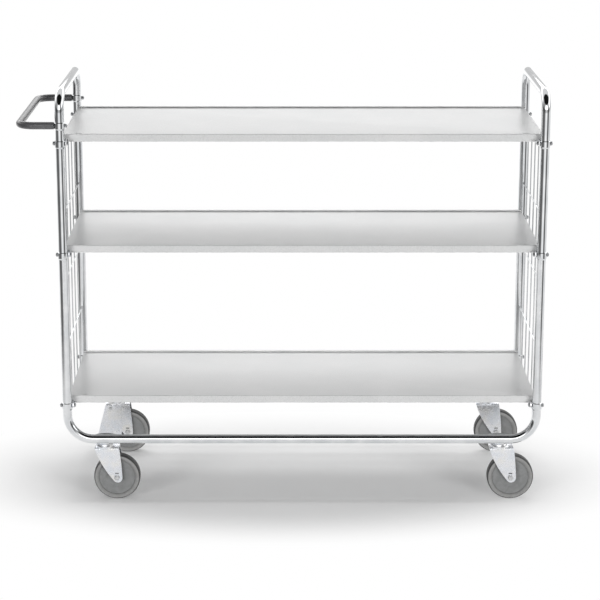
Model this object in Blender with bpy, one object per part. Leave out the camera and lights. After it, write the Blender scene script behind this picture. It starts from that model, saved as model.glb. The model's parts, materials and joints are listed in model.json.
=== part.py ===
"""Order picking trolley: a plug-together chrome tube frame with three sheet-metal shelves, wire end
panels, a push handle and four swivel castors, one of them with a foot brake.

Metres, +Z up. X runs along the shelves with the handle at -X, Y runs from the front (-Y) to the
back. The origin lies on the floor under the middle of the whole trolley, handle included.
"""
import math

import bmesh
import bpy
from mathutils import Matrix, Vector

# Overall sizes: the shelves set how far apart the posts stand, and the heights stack up from the floor
SHELF_LENGTH = 1.242
SHELF_DEPTH = 0.415
SHELF_END_INSET = 0.0040
SHELF_SIDE_GAP = 0.0007
BASE_RIM_RISE = 0.1025
LOWER_POST_RISE = 0.4125
UPPER_POST_RISE = 0.2950
HANDLE_JOINT_RISE = 0.0480
HOOP_RISE = 0.1325
FIT = 0.0003
RUNNING_FIT = 0.0006
OVERRUN = 0.010

# Frame tube and its plug-in joints
TUBE_R = 0.0125
TUBE_WALL = 0.0015
SOCKET_LENGTH = 0.0155
SOCKET_TAPER = 0.0060
BASE_BEND_R = 0.067
HOOP_BEND_R = 0.050
TUBE_SIDES = 12
BEND_STEPS = 4

# Joint bolts, which also hold the shelf bearers
BOLT_R = 0.0030
BOLT_BELOW_RIM = 0.0070
BOLT_HEAD_HEIGHT = 0.0040
BOLT_FLATS = 0.0100
NUT_HEIGHT = 0.0050
BOLT_SIDES = 6

# Push handle
HANDLE_R = 0.0100
HANDLE_REACH = 0.107
HANDLE_BEND_R = 0.040
HANDLE_END_ROUND = 0.0025
HANDLE_BOLT_BELOW_RIM = 0.0090

# Shelves and the bars that carry them
SHELF_SHEET = 0.0012
SHELF_LIP = 0.0200
SHELF_BEND_R = 0.0035
SHELF_ABOVE_RIM = 0.0145
REAR_LEDGE_DEPTH = 0.0120
REAR_LEDGE_RISE = 0.0040
BEARER_THICKNESS = 0.0030
BEARER_EAR_R = 0.0080
BEARER_SLOT_PLAY = 0.0005
BEARER_CHAMFER = 0.0040

# Wire end panels
WIRE_R = 0.0019
WIRE_SIDES = 6
WIRE_WELD = 0.0006
WIRE_INSERT = 0.0040
UPRIGHT_WIRE_PITCH = 0.075
UPRIGHT_WIRE_COUNT = 5
CROSS_WIRE_PITCH = 0.180
LOW_WIRE_BELOW_RIM = 0.0250
TOP_WIRE_BELOW_RIM = 0.0285

# Castors: the swivel axis, the trailing wheel and the pressed fork. In the pairs below X is from the
# swivel axis, apart from the toe's, which is from the axle, and Z is from the axle.
CASTOR_INSET_X = 0.0945
CASTOR_INSET_Y = 0.0335
CASTOR_TRAIL = 0.0320
WHEEL_R = 0.0625
WHEEL_SIDES = 16
TYRE_WIDTH = 0.031
TYRE_SHOULDER = 0.0045
TYRE_DEPTH = 0.0142
RIM_WIDTH = 0.026
RIM_DEPTH = 0.0045
WEB_THICKNESS = 0.010
HUB_R = 0.0120
AXLE_R = 0.0040
AXLE_FLATS = 0.0130
AXLE_HEAD_HEIGHT = 0.0050
FORK_INNER_WIDTH = 0.0350
FORK_SHEET = 0.0025
FORK_HEADROOM = 0.0220
FORK_FRONT_X = -0.0270
FORK_BACK_X = 0.0385
FORK_KNEE = (0.0445, 0.0550)
FORK_TOE_R = 0.0130
FORK_TOE_OFFSET = (0.0020, -0.0010)
FORK_TOE_START = math.radians(217)
FORK_EDGE_PULL = (-0.0140, 0.0375)
FORK_SHOULDER_R = 0.0050
FORK_RACE_HEIGHT = 0.0101
SHOULDER_STEPS = 2
ROUND_PROFILE_SHARE = 0.5
KEEPER_SLOT = (0.0090, 0.0020)
KEEPER_SLOT_RISE = 0.0105
PAD_SIZE_X = 0.0760
PAD_INNER_REACH = 0.0370
PAD_THICKNESS = 0.0040
PAD_DROP = 0.0073
RACE_R = 0.0260
RACE_HEIGHT = 0.0085
RACE_TAPER = 0.0025
KINGPIN_R = 0.0060
KINGPIN_FLANGE_R = 0.0100
KINGPIN_FLANGE_HEIGHT = 0.0040
KINGPIN_NUT_FLATS = 0.0170
KINGPIN_NUT_HEIGHT = 0.0055
TURNED_SIDES = 10

# Foot brake on the rear castor at the handle end: drops are from the fork's crown, low ends and the
# rivet's height from the axle, and X from the swivel axis, apart from the toe's, from the tyre's front
BRAKE_SHEET = 0.0020
BRAKE_PLAY = 0.0004
BRAKE_PIN_X = -0.0160
BRAKE_PIN_DROP = 0.0130
BRAKE_PIN_R = 0.0030
BRAKE_PIN_HEAD_R = 0.0050
BRAKE_PIN_HEAD_HEIGHT = 0.0020
PIN_SIDES = 8
BRAKE_TOP_FRONT_X = -0.0305
BRAKE_TOP_FRONT_DROP = 0.0035
BRAKE_BACK_X = 0.0150
BRAKE_BACK_DROP = 0.0060
BRAKE_BACK_LOW_END = -0.0105
BRAKE_TOE_FRONT_X = -0.0295
BRAKE_TOE_BACK_X = 0.0055
BRAKE_TOE_LOW_END = -0.0345
BRAKE_STROKE = math.radians(6)
BRAKE_SHOE_HEIGHT = 0.0240
BRAKE_RIVET_R = 0.0050
BRAKE_RIVET_HEIGHT = 0.0015
BRAKE_RIVET_AT = (0.0045, 0.0015)

# Places that follow from the sizes above
BORE_R = TUBE_R - TUBE_WALL
SOCKET_BORE_R = TUBE_R + FIT
SOCKET_R = SOCKET_BORE_R + TUBE_WALL
POST_X = SHELF_LENGTH / 2 + SHELF_END_INSET
POST_Y = SHELF_DEPTH / 2 + SHELF_SIDE_GAP + SOCKET_R
FORK_CROWN_Z = 2 * WHEEL_R + FORK_HEADROOM
RACE_LOW_Z = FORK_CROWN_Z + FORK_RACE_HEIGHT + FIT
RACE_TOP_Z = RACE_LOW_Z + RACE_HEIGHT
PAD_LOW_Z = RACE_TOP_Z + FIT
PAD_TOP_Z = PAD_LOW_Z + PAD_THICKNESS
BASE_TUBE_Z = PAD_TOP_Z + PAD_DROP
BOTTOM_RIM = BASE_TUBE_Z + BASE_RIM_RISE
MIDDLE_RIM = BOTTOM_RIM + LOWER_POST_RISE
TOP_RIM = MIDDLE_RIM + UPPER_POST_RISE
JOINT_RIMS = {"bottom": BOTTOM_RIM, "middle": MIDDLE_RIM, "top": TOP_RIM}
HANDLE_RIM = TOP_RIM + HANDLE_JOINT_RISE
HANDLE_Z = HANDLE_RIM - HANDLE_BOLT_BELOW_RIM
HOOP_TOP = TOP_RIM + HOOP_RISE
LEFT_REACH = POST_X + HANDLE_REACH + HANDLE_R
RIGHT_REACH = POST_X + SOCKET_R + FIT + BOLT_HEAD_HEIGHT
CENTRE_SHIFT = (LEFT_REACH - RIGHT_REACH) / 2
BEARER_X = SOCKET_R + FIT
NUT_X = BEARER_X + BEARER_THICKNESS + FIT
CASTOR_X = POST_X - CASTOR_INSET_X
CASTOR_Y = POST_Y - CASTOR_INSET_Y
TYRE_BORE_R = WHEEL_R - TYRE_DEPTH
TREAD_R = WHEEL_R / math.cos(math.pi / WHEEL_SIDES)
TYRE_FRONT_X = CASTOR_TRAIL - WHEEL_R
FORK_LEG_Y = FORK_INNER_WIDTH / 2
FORK_OUTER_Y = FORK_LEG_Y + FORK_SHEET
BRAKE_INNER_Y = FORK_OUTER_Y + BRAKE_PLAY
BRAKE_OUTER_Y = BRAKE_INNER_Y + BRAKE_SHEET
BRAKE_PIN_Z = FORK_CROWN_Z - BRAKE_PIN_DROP

X_AXIS = Vector((1, 0, 0))
Y_AXIS = Vector((0, 1, 0))
Z_AXIS = Vector((0, 0, 1))
SMOOTH_ANGLE = math.radians(40)
ROUND_STEPS = 4


def clear_scene():
    for thing in list(bpy.data.objects):
        bpy.data.objects.remove(thing)


def surface(name, colour, roughness, metallic):
    """A Principled material in the part's own colour."""
    material = bpy.data.materials.new(name)
    material.use_nodes = True
    shader = material.node_tree.nodes["Principled BSDF"]
    shader.inputs["Base Color"].default_value = (*colour, 1)
    shader.inputs["Roughness"].default_value = roughness
    shader.inputs["Metallic"].default_value = metallic
    material.diffuse_color = (*colour, 1)
    return material


def datum(name, parent, location):
    """An empty that carries the pieces of one sub-assembly."""
    empty = bpy.data.objects.new(name, None)
    bpy.context.scene.collection.objects.link(empty)
    empty.parent = parent
    empty.location = location
    return empty


def place(name, mesh, material, parent, location=(0, 0, 0), turn=0):
    """One named piece, turned about Z and set down under its parent."""
    piece = bpy.data.objects.new(name, mesh)
    bpy.context.scene.collection.objects.link(piece)
    if not mesh.materials:
        mesh.materials.append(material)
    piece.parent = parent
    piece.location = location
    piece.rotation_euler = (0, 0, turn)
    return piece


def finished_mesh(name, shape):
    """Turns a bmesh into a mesh whose faces point out and whose round sides look round."""
    bmesh.ops.recalc_face_normals(shape, faces=shape.faces)
    mesh = bpy.data.meshes.new(name)
    shape.to_mesh(mesh)
    shape.free()
    mesh.shade_smooth()
    mesh.set_sharp_from_angle(angle=SMOOTH_ANGLE)
    return mesh


def lofted(name, rings, hollow=False):
    """A skin over rings of points: end caps on a solid, or a last band that closes a hollow one."""
    shape = bmesh.new()
    loops = [[shape.verts.new(point) for point in ring] for ring in rings]
    bands = list(zip(loops, loops[1:]))
    if hollow:
        bands.append((loops[-1], loops[0]))
    else:
        shape.faces.new(loops[0])
        shape.faces.new(loops[-1])
    for low, high in bands:
        for index in range(len(low)):
            after = (index + 1) % len(low)
            shape.faces.new((low[index], low[after], high[after], high[index]))
    return finished_mesh(name, shape)


def ring(centre, along, across, radius, sides):
    """Points on a circle square to `along`.

    They start half a step round, so that a twelve-sided tube has flats where its holes are drilled.
    """
    side = along.cross(across)
    angles = [math.tau * (step + 0.5) / sides for step in range(sides)]
    return [centre + (side * math.cos(a) + across * math.sin(a)) * radius for a in angles]


def hexagon(centre, along, across, flats):
    """The six corners of a bolt head or nut."""
    return ring(centre, along, across, flats / (2 * math.cos(math.pi / 6)), 6)


def turned(name, profile, sides, axis=Z_AXIS, hollow=False):
    """A piece turned about `axis` from (radius, height) pairs."""
    across = X_AXIS if axis is Z_AXIS else Z_AXIS
    rings = [ring(axis * height, axis, across, radius, sides) for radius, height in profile]
    return lofted(name, rings, hollow)


def extruded(name, outline, low, high, axis=Y_AXIS):
    """A flat outline carried along Y from (x, z) pairs, or along X from (y, z) pairs."""
    def spot(pair, depth):
        if axis is Y_AXIS:
            return Vector((pair[0], depth, pair[1]))
        return Vector((depth, pair[0], pair[1]))
    return lofted(name, [[spot(pair, depth) for pair in outline] for depth in (low, high)])


def block(name, low, high):
    """A box between two corners, used as a cutter or a plain plate."""
    outline = [(low[0], low[2]), (high[0], low[2]), (high[0], high[2]), (low[0], high[2])]
    return extruded(name, outline, low[1], high[1])


def rod(name, start, end, radius, sides):
    """A solid round bar between two points."""
    along = (end - start).normalized()
    across = Z_AXIS if abs(along.z) < abs(along.x) + abs(along.y) else X_AXIS
    return lofted(name, [ring(spot, along, across, radius, sides) for spot in (start, end)])


def gathered(name, meshes):
    """Several separate solids in one mesh, used as one set of cutters."""
    shape = bmesh.new()
    for mesh in meshes:
        shape.from_mesh(mesh)
    return finished_mesh(name, shape)


def combined(mesh, tool, operation):
    """The exact union or difference of two meshes, as a new mesh."""
    scene = bpy.context.scene.collection.objects
    body = bpy.data.objects.new("body", mesh)
    helper = bpy.data.objects.new("helper", tool)
    scene.link(body)
    scene.link(helper)
    helper.hide_render = True
    helper.display_type = "WIRE"
    step = body.modifiers.new("step", "BOOLEAN")
    step.operation = operation
    step.solver = "EXACT"
    step.object = helper
    sight = bpy.context.evaluated_depsgraph_get()
    result = bpy.data.meshes.new_from_object(body.evaluated_get(sight))
    result.name = mesh.name
    bpy.data.objects.remove(body)
    bpy.data.objects.remove(helper)
    shape = bmesh.new()
    shape.from_mesh(result)
    return finished_mesh(mesh.name, shape)


def cut(mesh, *tools):
    return combined(mesh, gathered("cutters", tools), "DIFFERENCE")


def joined(mesh, *tools):
    return combined(mesh, gathered("additions", tools), "UNION")


def arc(centre, radius, start, end, steps):
    """Points on an arc between two angles, both ends included."""
    turns = [start + (end - start) * step / steps for step in range(steps + 1)]
    return [(centre[0] + radius * math.cos(a), centre[1] + radius * math.sin(a)) for a in turns]


def route(corners, bend_r):
    """Stations (point, direction) along straight runs joined by round bends."""
    stations = [(corners[0], (corners[1] - corners[0]).normalized())]
    for before, corner, after in zip(corners, corners[1:], corners[2:]):
        into = (corner - before).normalized()
        out = (after - corner).normalized()
        half = into.angle(out) / 2
        start = corner - into * bend_r * math.tan(half)
        centre = corner + (out - into).normalized() * bend_r / math.cos(half)
        for step in range(BEND_STEPS + 1):
            spin = Matrix.Rotation(2 * half * step / BEND_STEPS, 3, into.cross(out))
            stations.append((centre + spin @ (start - centre), spin @ into))
    stations.append((corners[-1], (corners[-1] - corners[-2]).normalized()))
    return stations


def frame_tube(name, corners, across, mouths, bend_r=BASE_BEND_R):
    """A bent tube; `mouths` says which of its two ends are swaged out into a socket."""
    stations = [(spot, along, TUBE_R, BORE_R) for spot, along in route(corners, bend_r)]
    if mouths[1]:
        spot, along, _, _ = stations.pop()
        low = spot - along * SOCKET_LENGTH
        stations.append((low - along * SOCKET_TAPER, along, TUBE_R, BORE_R))
        stations.append((low, along, SOCKET_R, SOCKET_BORE_R))
        stations.append((spot, along, SOCKET_R, SOCKET_BORE_R))
    if mouths[0]:
        spot, along, _, _ = stations.pop(0)
        low = spot + along * SOCKET_LENGTH
        stations.insert(0, (low + along * SOCKET_TAPER, along, TUBE_R, BORE_R))
        stations.insert(0, (low, along, SOCKET_R, SOCKET_BORE_R))
        stations.insert(0, (spot, along, SOCKET_R, SOCKET_BORE_R))
    outer = [ring(spot, along, across, radius, TUBE_SIDES) for spot, along, radius, _ in stations]
    inner = [ring(spot, along, across, bore, TUBE_SIDES) for spot, along, _, bore in stations]
    return lofted(name, outer + inner[::-1], hollow=True)


def bolt_hole(x, y, z):
    """A cutter for a joint bolt, which runs along X right through a tube."""
    reach = SOCKET_R + OVERRUN
    start = Vector((x - reach, y, z))
    return rod("bolt_hole", start, start + X_AXIS * 2 * reach, BOLT_R + FIT, BOLT_SIDES)


def wire_hole(x, y, z):
    """A cutter for the end of a cross wire, in the side of a tube that faces the panel."""
    start = Vector((x, y, z))
    return rod("wire_hole", start, start + Y_AXIS * (TUBE_R + OVERRUN), WIRE_R + FIT, WIRE_SIDES)


def post_mesh(name, low_rim, high_rim, wire_heights=(), bolt_below=BOLT_BELOW_RIM):
    """A straight post, whose own origin lies at the rim of the socket it stands in."""
    low = -SOCKET_LENGTH + FIT
    high = high_rim - low_rim
    corners = [Z_AXIS * low, Z_AXIS * high]
    tube = frame_tube(name, corners, Y_AXIS, (False, True))
    holes = [bolt_hole(0, 0, -BOLT_BELOW_RIM), bolt_hole(0, 0, high - bolt_below)]
    holes += [wire_hole(0, 0, height - low_rim) for height in wire_heights]
    return cut(tube, *holes)


def cross_wire_heights():
    low = BOTTOM_RIM - LOW_WIRE_BELOW_RIM
    high = TOP_RIM - TOP_WIRE_BELOW_RIM
    middle = (low + high) / 2
    return [low, *[middle + CROSS_WIRE_PITCH * step for step in (-1, 0, 1)], high]


def base_tube_mesh():
    """The front base tube: a long U with a socket at each end and two welded castor pads."""
    corners = [Vector((-POST_X, 0, BOTTOM_RIM)), Vector((-POST_X, 0, BASE_TUBE_Z)),
               Vector((POST_X, 0, BASE_TUBE_Z)), Vector((POST_X, 0, BOTTOM_RIM))]
    tube = frame_tube("base_tube", corners, Y_AXIS, (True, True))
    wall_r = (TUBE_R + BORE_R) / 2
    weld_y = math.sqrt(wall_r ** 2 - PAD_DROP ** 2)
    holes = []
    pads = []
    for side in (-1, 1):
        x = side * CASTOR_X
        pads.append(block("pad", (x - PAD_SIZE_X / 2, weld_y, PAD_LOW_Z),
                          (x + PAD_SIZE_X / 2, CASTOR_INSET_Y + PAD_INNER_REACH, PAD_TOP_Z)))
        low = Vector((x, CASTOR_INSET_Y, PAD_LOW_Z - OVERRUN))
        high = Vector((x, CASTOR_INSET_Y, PAD_TOP_Z + OVERRUN))
        holes.append(rod("pad_hole", low, high, KINGPIN_R + FIT, TURNED_SIDES))
        holes.append(bolt_hole(side * POST_X, 0, BOTTOM_RIM - BOLT_BELOW_RIM))
        holes.append(wire_hole(side * POST_X, 0, cross_wire_heights()[0]))
    return cut(joined(tube, *pads), *holes)


def hoop_mesh(rim, bolt_below):
    """An end hoop across the trolley, whose legs plug into the sockets with this rim height."""
    low = rim - SOCKET_LENGTH + FIT
    top = HOOP_TOP - TUBE_R
    corners = [Vector((0, -POST_Y, low)), Vector((0, -POST_Y, top)),
               Vector((0, POST_Y, top)), Vector((0, POST_Y, low))]
    tube = frame_tube("hoop", corners, X_AXIS, (False, False), HOOP_BEND_R)
    return cut(tube, *[bolt_hole(0, side * POST_Y, rim - bolt_below) for side in (-1, 1)])


def handle_mesh():
    """The coated push handle with the two studs and nuts that hold it to the riser joints."""
    face_x = -POST_X - SOCKET_R - FIT
    end = face_x - HANDLE_END_ROUND
    reach = -POST_X - HANDLE_REACH
    corners = [Vector((end, -POST_Y, HANDLE_Z)), Vector((reach, -POST_Y, HANDLE_Z)),
               Vector((reach, POST_Y, HANDLE_Z)), Vector((end, POST_Y, HANDLE_Z))]
    stations = route(corners, HANDLE_BEND_R)
    rings = [ring(spot, along, Z_AXIS, HANDLE_R, TUBE_SIDES) for spot, along in stations]
    faces = [ring(Vector((face_x, spot.y, spot.z)), along, Z_AXIS, HANDLE_R - HANDLE_END_ROUND,
                  TUBE_SIDES) for spot, along in (stations[0], stations[-1])]
    studs = []
    for side in (-1, 1):
        centre = Vector((-POST_X, side * POST_Y, HANDLE_Z))
        studs.append(stud_mesh(centre, -SOCKET_R - FIT - HANDLE_END_ROUND, SOCKET_R + FIT))
    return joined(lofted("handle", [faces[0], *rings, faces[1]]), *studs)


def stud_mesh(centre, start, nut_at):
    """A stud along X from `start` out of `centre`, with its nut `nut_at` from there."""
    def shank_ring(depth):
        return ring(centre + X_AXIS * depth, X_AXIS, Z_AXIS, BOLT_R, BOLT_SIDES)

    def nut_ring(depth):
        return hexagon(centre + X_AXIS * depth, X_AXIS, Z_AXIS, BOLT_FLATS)
    return lofted("stud", [shank_ring(start), shank_ring(nut_at), nut_ring(nut_at),
                           nut_ring(nut_at + NUT_HEIGHT)])


def bolt_mesh(name, head_at, nut_at, axis, radius, flats, head_height):
    """A bolt with its nut: the head lies at -head_at along `axis`, the nut at nut_at."""
    def shank_ring(depth):
        return ring(axis * depth, axis, Z_AXIS, radius, BOLT_SIDES)

    def flats_ring(depth):
        return hexagon(axis * depth, axis, Z_AXIS, flats)
    return lofted(name, [flats_ring(-head_at - head_height), flats_ring(-head_at),
                         shank_ring(-head_at), shank_ring(nut_at), flats_ring(nut_at),
                         flats_ring(nut_at + NUT_HEIGHT)])


def shelf_outline(inset, drop):
    """A shelf's bent section from front to back, `inset` inside its outer face, as (y, z) pairs."""
    half = SHELF_DEPTH / 2
    front = -half + inset
    back = half - inset
    top = -inset
    bend_r = SHELF_BEND_R - inset
    ledge = half - REAR_LEDGE_DEPTH + inset
    ledge_top = REAR_LEDGE_RISE - inset
    front_bend = arc((front + bend_r, top - bend_r), bend_r, math.pi, math.pi / 2, ROUND_STEPS)
    back_bend = arc((back - bend_r, ledge_top - bend_r), bend_r, math.pi / 2, 0, ROUND_STEPS)
    return [(front, drop), *front_bend, (ledge, top), (ledge, ledge_top), *back_bend, (back, drop)]


def shelf_mesh():
    """A folded sheet-metal shelf, open below, with lips all round and a raised ledge at the back.

    Its origin lies in the middle of its top face.
    """
    half = SHELF_LENGTH / 2
    skin = extruded("shelf", shelf_outline(0, -SHELF_LIP), -half, half, X_AXIS)
    hollow = extruded("hollow", shelf_outline(SHELF_SHEET, -SHELF_LIP - OVERRUN),
                      -half + SHELF_SHEET, half - SHELF_SHEET, X_AXIS)
    return cut(skin, hollow)


def bearer_mesh():
    """A flat bar across one end, slotted for the shelf's lips, with an ear at each post.

    Its origin lies level with the shelf's top face.
    """
    bolt_z = -SHELF_ABOVE_RIM - BOLT_BELOW_RIM
    low = bolt_z - BEARER_EAR_R
    high = -SHELF_SHEET - FIT
    slot_out = SHELF_DEPTH / 2 + BEARER_SLOT_PLAY
    slot_in = SHELF_DEPTH / 2 - SHELF_SHEET - BEARER_SLOT_PLAY
    slot_low = -SHELF_LIP - FIT
    ear = arc((POST_Y, bolt_z), BEARER_EAR_R, -math.pi / 2, math.pi / 2, ROUND_STEPS)
    right = [*ear, (slot_out, bolt_z + BEARER_EAR_R), (slot_out, slot_low), (slot_in, slot_low),
             (slot_in, high - BEARER_CHAMFER), (slot_in - BEARER_CHAMFER, high)]
    left = [(-y, z) for y, z in right[::-1]]
    bar = extruded("bearer", right + left, BEARER_X, BEARER_X + BEARER_THICKNESS, X_AXIS)
    return cut(bar, *[bolt_hole(BEARER_X, side * POST_Y, bolt_z) for side in (-1, 1)])


def wire_panel_mesh():
    """Cross wires that plug into the posts, with upright wires welded on their outer side."""
    heights = cross_wire_heights()
    reach = POST_Y - TUBE_R + WIRE_INSERT
    crosses = [rod("cross", Vector((0, -reach, z)), Vector((0, reach, z)), WIRE_R, WIRE_SIDES)
               for z in heights]
    outward = -(2 * WIRE_R * math.cos(math.pi / WIRE_SIDES) - WIRE_WELD)
    uprights = []
    for step in range(UPRIGHT_WIRE_COUNT):
        y = (step - (UPRIGHT_WIRE_COUNT - 1) / 2) * UPRIGHT_WIRE_PITCH
        low = Vector((outward, y, heights[0] - 2 * WIRE_R))
        high = Vector((outward, y, heights[-1] + 2 * WIRE_R))
        uprights.append(rod("upright", low, high, WIRE_R, WIRE_SIDES))
    return joined(gathered("wire_panel", crosses), *uprights)


def castor_head_mesh():
    """The fixed upper race with its kingpin, nut above the pad and keeper flange under the crown."""
    crown_low = FORK_CROWN_Z - FORK_SHEET - FIT
    nut_low = PAD_TOP_Z + FIT
    nut_high = nut_low + KINGPIN_NUT_HEIGHT
    nut_r = KINGPIN_NUT_FLATS / 2
    profile = [(nut_r, nut_high), (nut_r, nut_low), (KINGPIN_R, nut_low), (KINGPIN_R, RACE_TOP_Z),
               (RACE_R, RACE_TOP_Z), (RACE_R, RACE_LOW_Z + RACE_TAPER),
               (RACE_R - RACE_TAPER, RACE_LOW_Z), (KINGPIN_R, RACE_LOW_Z), (KINGPIN_R, crown_low),
               (KINGPIN_FLANGE_R, crown_low), (KINGPIN_FLANGE_R, crown_low - KINGPIN_FLANGE_HEIGHT)]
    return turned("castor_head", profile, TURNED_SIDES)


def fork_outline():
    """The side view of a fork leg as (x, z) pairs, from the crown's front down round the toe."""
    toe = (CASTOR_TRAIL + FORK_TOE_OFFSET[0], WHEEL_R + FORK_TOE_OFFSET[1])
    start = Vector((FORK_FRONT_X, FORK_CROWN_Z))
    pull = Vector((FORK_EDGE_PULL[0], WHEEL_R + FORK_EDGE_PULL[1]))
    toe_arc = arc(toe, FORK_TOE_R, FORK_TOE_START, math.tau, ROUND_STEPS)
    end = Vector(toe_arc[0])
    front = []
    for step in range(ROUND_STEPS):
        share = step / ROUND_STEPS
        front.append(start * (1 - share) ** 2 + pull * 2 * share * (1 - share) + end * share ** 2)
    knee = (FORK_KNEE[0], WHEEL_R + FORK_KNEE[1])
    return [*front, *toe_arc, knee, (FORK_BACK_X, FORK_CROWN_Z)]


def fork_mesh(brake_pin):
    """The pressed fork: a U over the wheel, with the lower race on its crown."""
    outline = fork_outline()
    shell = extruded("fork", outline, -FORK_OUTER_Y, FORK_OUTER_Y)
    shape = bmesh.new()
    shape.from_mesh(shell)
    crown = [edge for edge in shape.edges
             if all(vert.co.z > FORK_CROWN_Z - FIT for vert in edge.verts)
             and edge.verts[0].co.y * edge.verts[1].co.y > 0]
    bmesh.ops.bevel(shape, geom=crown, offset=FORK_SHOULDER_R, segments=SHOULDER_STEPS,
                    profile=ROUND_PROFILE_SHARE, affect="EDGES")
    shell = finished_mesh("fork", shape)
    shoulder = FORK_SHOULDER_R - FORK_SHEET
    roof = FORK_CROWN_Z - FORK_SHEET
    gap = [(-FORK_LEG_Y, -OVERRUN), (FORK_LEG_Y, -OVERRUN), (FORK_LEG_Y, roof - shoulder),
           (FORK_LEG_Y - shoulder, roof), (shoulder - FORK_LEG_Y, roof),
           (-FORK_LEG_Y, roof - shoulder)]
    hollow = extruded("gap", gap, FORK_FRONT_X - OVERRUN, CASTOR_TRAIL + WHEEL_R, X_AXIS)
    race = turned("race", [(RACE_R, FORK_CROWN_Z - FORK_SHEET / 2), (RACE_R, FORK_CROWN_Z),
                           (RACE_R - RACE_TAPER, RACE_LOW_Z - FIT)], TURNED_SIDES)
    pin_low = Vector((0, 0, roof - OVERRUN))
    pin_high = Vector((0, 0, RACE_LOW_Z + OVERRUN))
    holes = [rod("pin_hole", pin_low, pin_high, KINGPIN_R + RUNNING_FIT, TURNED_SIDES),
             cross_hole(CASTOR_TRAIL, WHEEL_R, AXLE_R + FIT, BOLT_SIDES)]
    slot_x = KEEPER_SLOT[0] / 2
    slot_z = WHEEL_R + KEEPER_SLOT_RISE
    holes.append(block("slot", (CASTOR_TRAIL - slot_x, -FORK_OUTER_Y - OVERRUN, slot_z),
                       (CASTOR_TRAIL + slot_x, FORK_OUTER_Y + OVERRUN, slot_z + KEEPER_SLOT[1])))
    if brake_pin:
        holes.append(cross_hole(BRAKE_PIN_X, BRAKE_PIN_Z, BRAKE_PIN_R + FIT, PIN_SIDES))
    return cut(joined(cut(shell, hollow), race), *holes)


def cross_hole(x, z, radius, sides):
    """A cutter along Y through both fork legs and whatever lies outside them."""
    reach = Y_AXIS * (BRAKE_OUTER_Y + OVERRUN)
    centre = Vector((x, 0, z))
    return rod("cross_hole", centre - reach, centre + reach, radius, sides)


def wheel_core_mesh():
    """The moulded wheel centre: hub, web and rim, turned about the axle."""
    hub_y = FORK_LEG_Y - FIT
    rim_y = RIM_WIDTH / 2
    web_y = WEB_THICKNESS / 2
    rim_r = TYRE_BORE_R - FIT
    rim_in = rim_r - RIM_DEPTH
    front = [(AXLE_R + FIT, hub_y), (HUB_R, hub_y), (HUB_R + FORK_SHEET, web_y),
             (rim_in - FORK_SHEET, web_y), (rim_in, rim_y), (rim_r, rim_y)]
    return turned("wheel_core", front + [(r, -y) for r, y in front[::-1]], WHEEL_SIDES, Y_AXIS, True)


def tyre_mesh():
    """The solid rubber tyre, its tread eased off at both shoulders; it stands on one of its flats."""
    half = TYRE_WIDTH / 2
    side = [(TYRE_BORE_R, RIM_WIDTH / 2), (TYRE_BORE_R + TYRE_SHOULDER, half),
            (TREAD_R - TYRE_SHOULDER, half), (TREAD_R, half - TYRE_SHOULDER)]
    return turned("tyre", side + [(r, -y) for r, y in side[::-1]], WHEEL_SIDES, Y_AXIS, True)


def brake_yoke_mesh():
    """The brake's pressed yoke: cheeks outside the fork, a web ahead of the wheel and a shoe on it.

    At rest the shoe stands off the tyre by as much as it travels when the yoke is trodden down.
    """
    top_front = (BRAKE_TOP_FRONT_X, FORK_CROWN_Z - BRAKE_TOP_FRONT_DROP)
    toe_front = (TYRE_FRONT_X + BRAKE_TOE_FRONT_X, WHEEL_R + BRAKE_TOE_LOW_END)
    toe_back = (TYRE_FRONT_X + BRAKE_TOE_BACK_X, WHEEL_R + BRAKE_TOE_LOW_END)
    low_back = (BRAKE_BACK_X, WHEEL_R + BRAKE_BACK_LOW_END)
    top_back = (BRAKE_BACK_X, FORK_CROWN_Z - BRAKE_BACK_DROP)
    shell = extruded("brake_yoke", [top_front, toe_front, toe_back, low_back, top_back],
                     -BRAKE_OUTER_Y, BRAKE_OUTER_Y)
    lean = (top_front[0] - toe_front[0]) / (top_front[1] - toe_front[1])

    def web_x(z):
        return toe_front[0] + lean * (z - toe_front[1]) + BRAKE_SHEET
    low = toe_front[1] - OVERRUN
    high = top_front[1] + OVERRUN
    back = BRAKE_BACK_X + OVERRUN
    hollow = extruded("inside", [(web_x(low), low), (back, low), (back, high), (web_x(high), high)],
                      -BRAKE_INNER_Y, BRAKE_INNER_Y)
    shoe_low = WHEEL_R - BRAKE_SHOE_HEIGHT / 2
    shoe_high = WHEEL_R + BRAKE_SHOE_HEIGHT / 2
    travel = (BRAKE_PIN_Z - shoe_low) * BRAKE_STROKE
    face = CASTOR_TRAIL - TREAD_R - travel - RUNNING_FIT
    root = -BRAKE_SHEET / 2
    shoe = extruded("shoe", [(web_x(shoe_low) + root, shoe_low), (face, shoe_low),
                             (face, shoe_high), (web_x(shoe_high) + root, shoe_high)],
                    -TYRE_WIDTH / 2, TYRE_WIDTH / 2)
    rivets = []
    for side in (-1, 1):
        x, rise = BRAKE_RIVET_AT
        start = Vector((x, side * (BRAKE_OUTER_Y - BRAKE_SHEET / 2), WHEEL_R + rise))
        end = Vector((x, side * (BRAKE_OUTER_Y + BRAKE_RIVET_HEIGHT), WHEEL_R + rise))
        rivets.append(rod("rivet", start, end, BRAKE_RIVET_R, PIN_SIDES))
    yoke = joined(cut(shell, hollow), shoe, *rivets)
    yoke = cut(yoke, cross_hole(BRAKE_PIN_X, BRAKE_PIN_Z, BRAKE_PIN_R + FIT, PIN_SIDES))
    yoke.transform(Matrix.Translation((-BRAKE_PIN_X, 0, -BRAKE_PIN_Z)))
    return yoke


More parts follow.
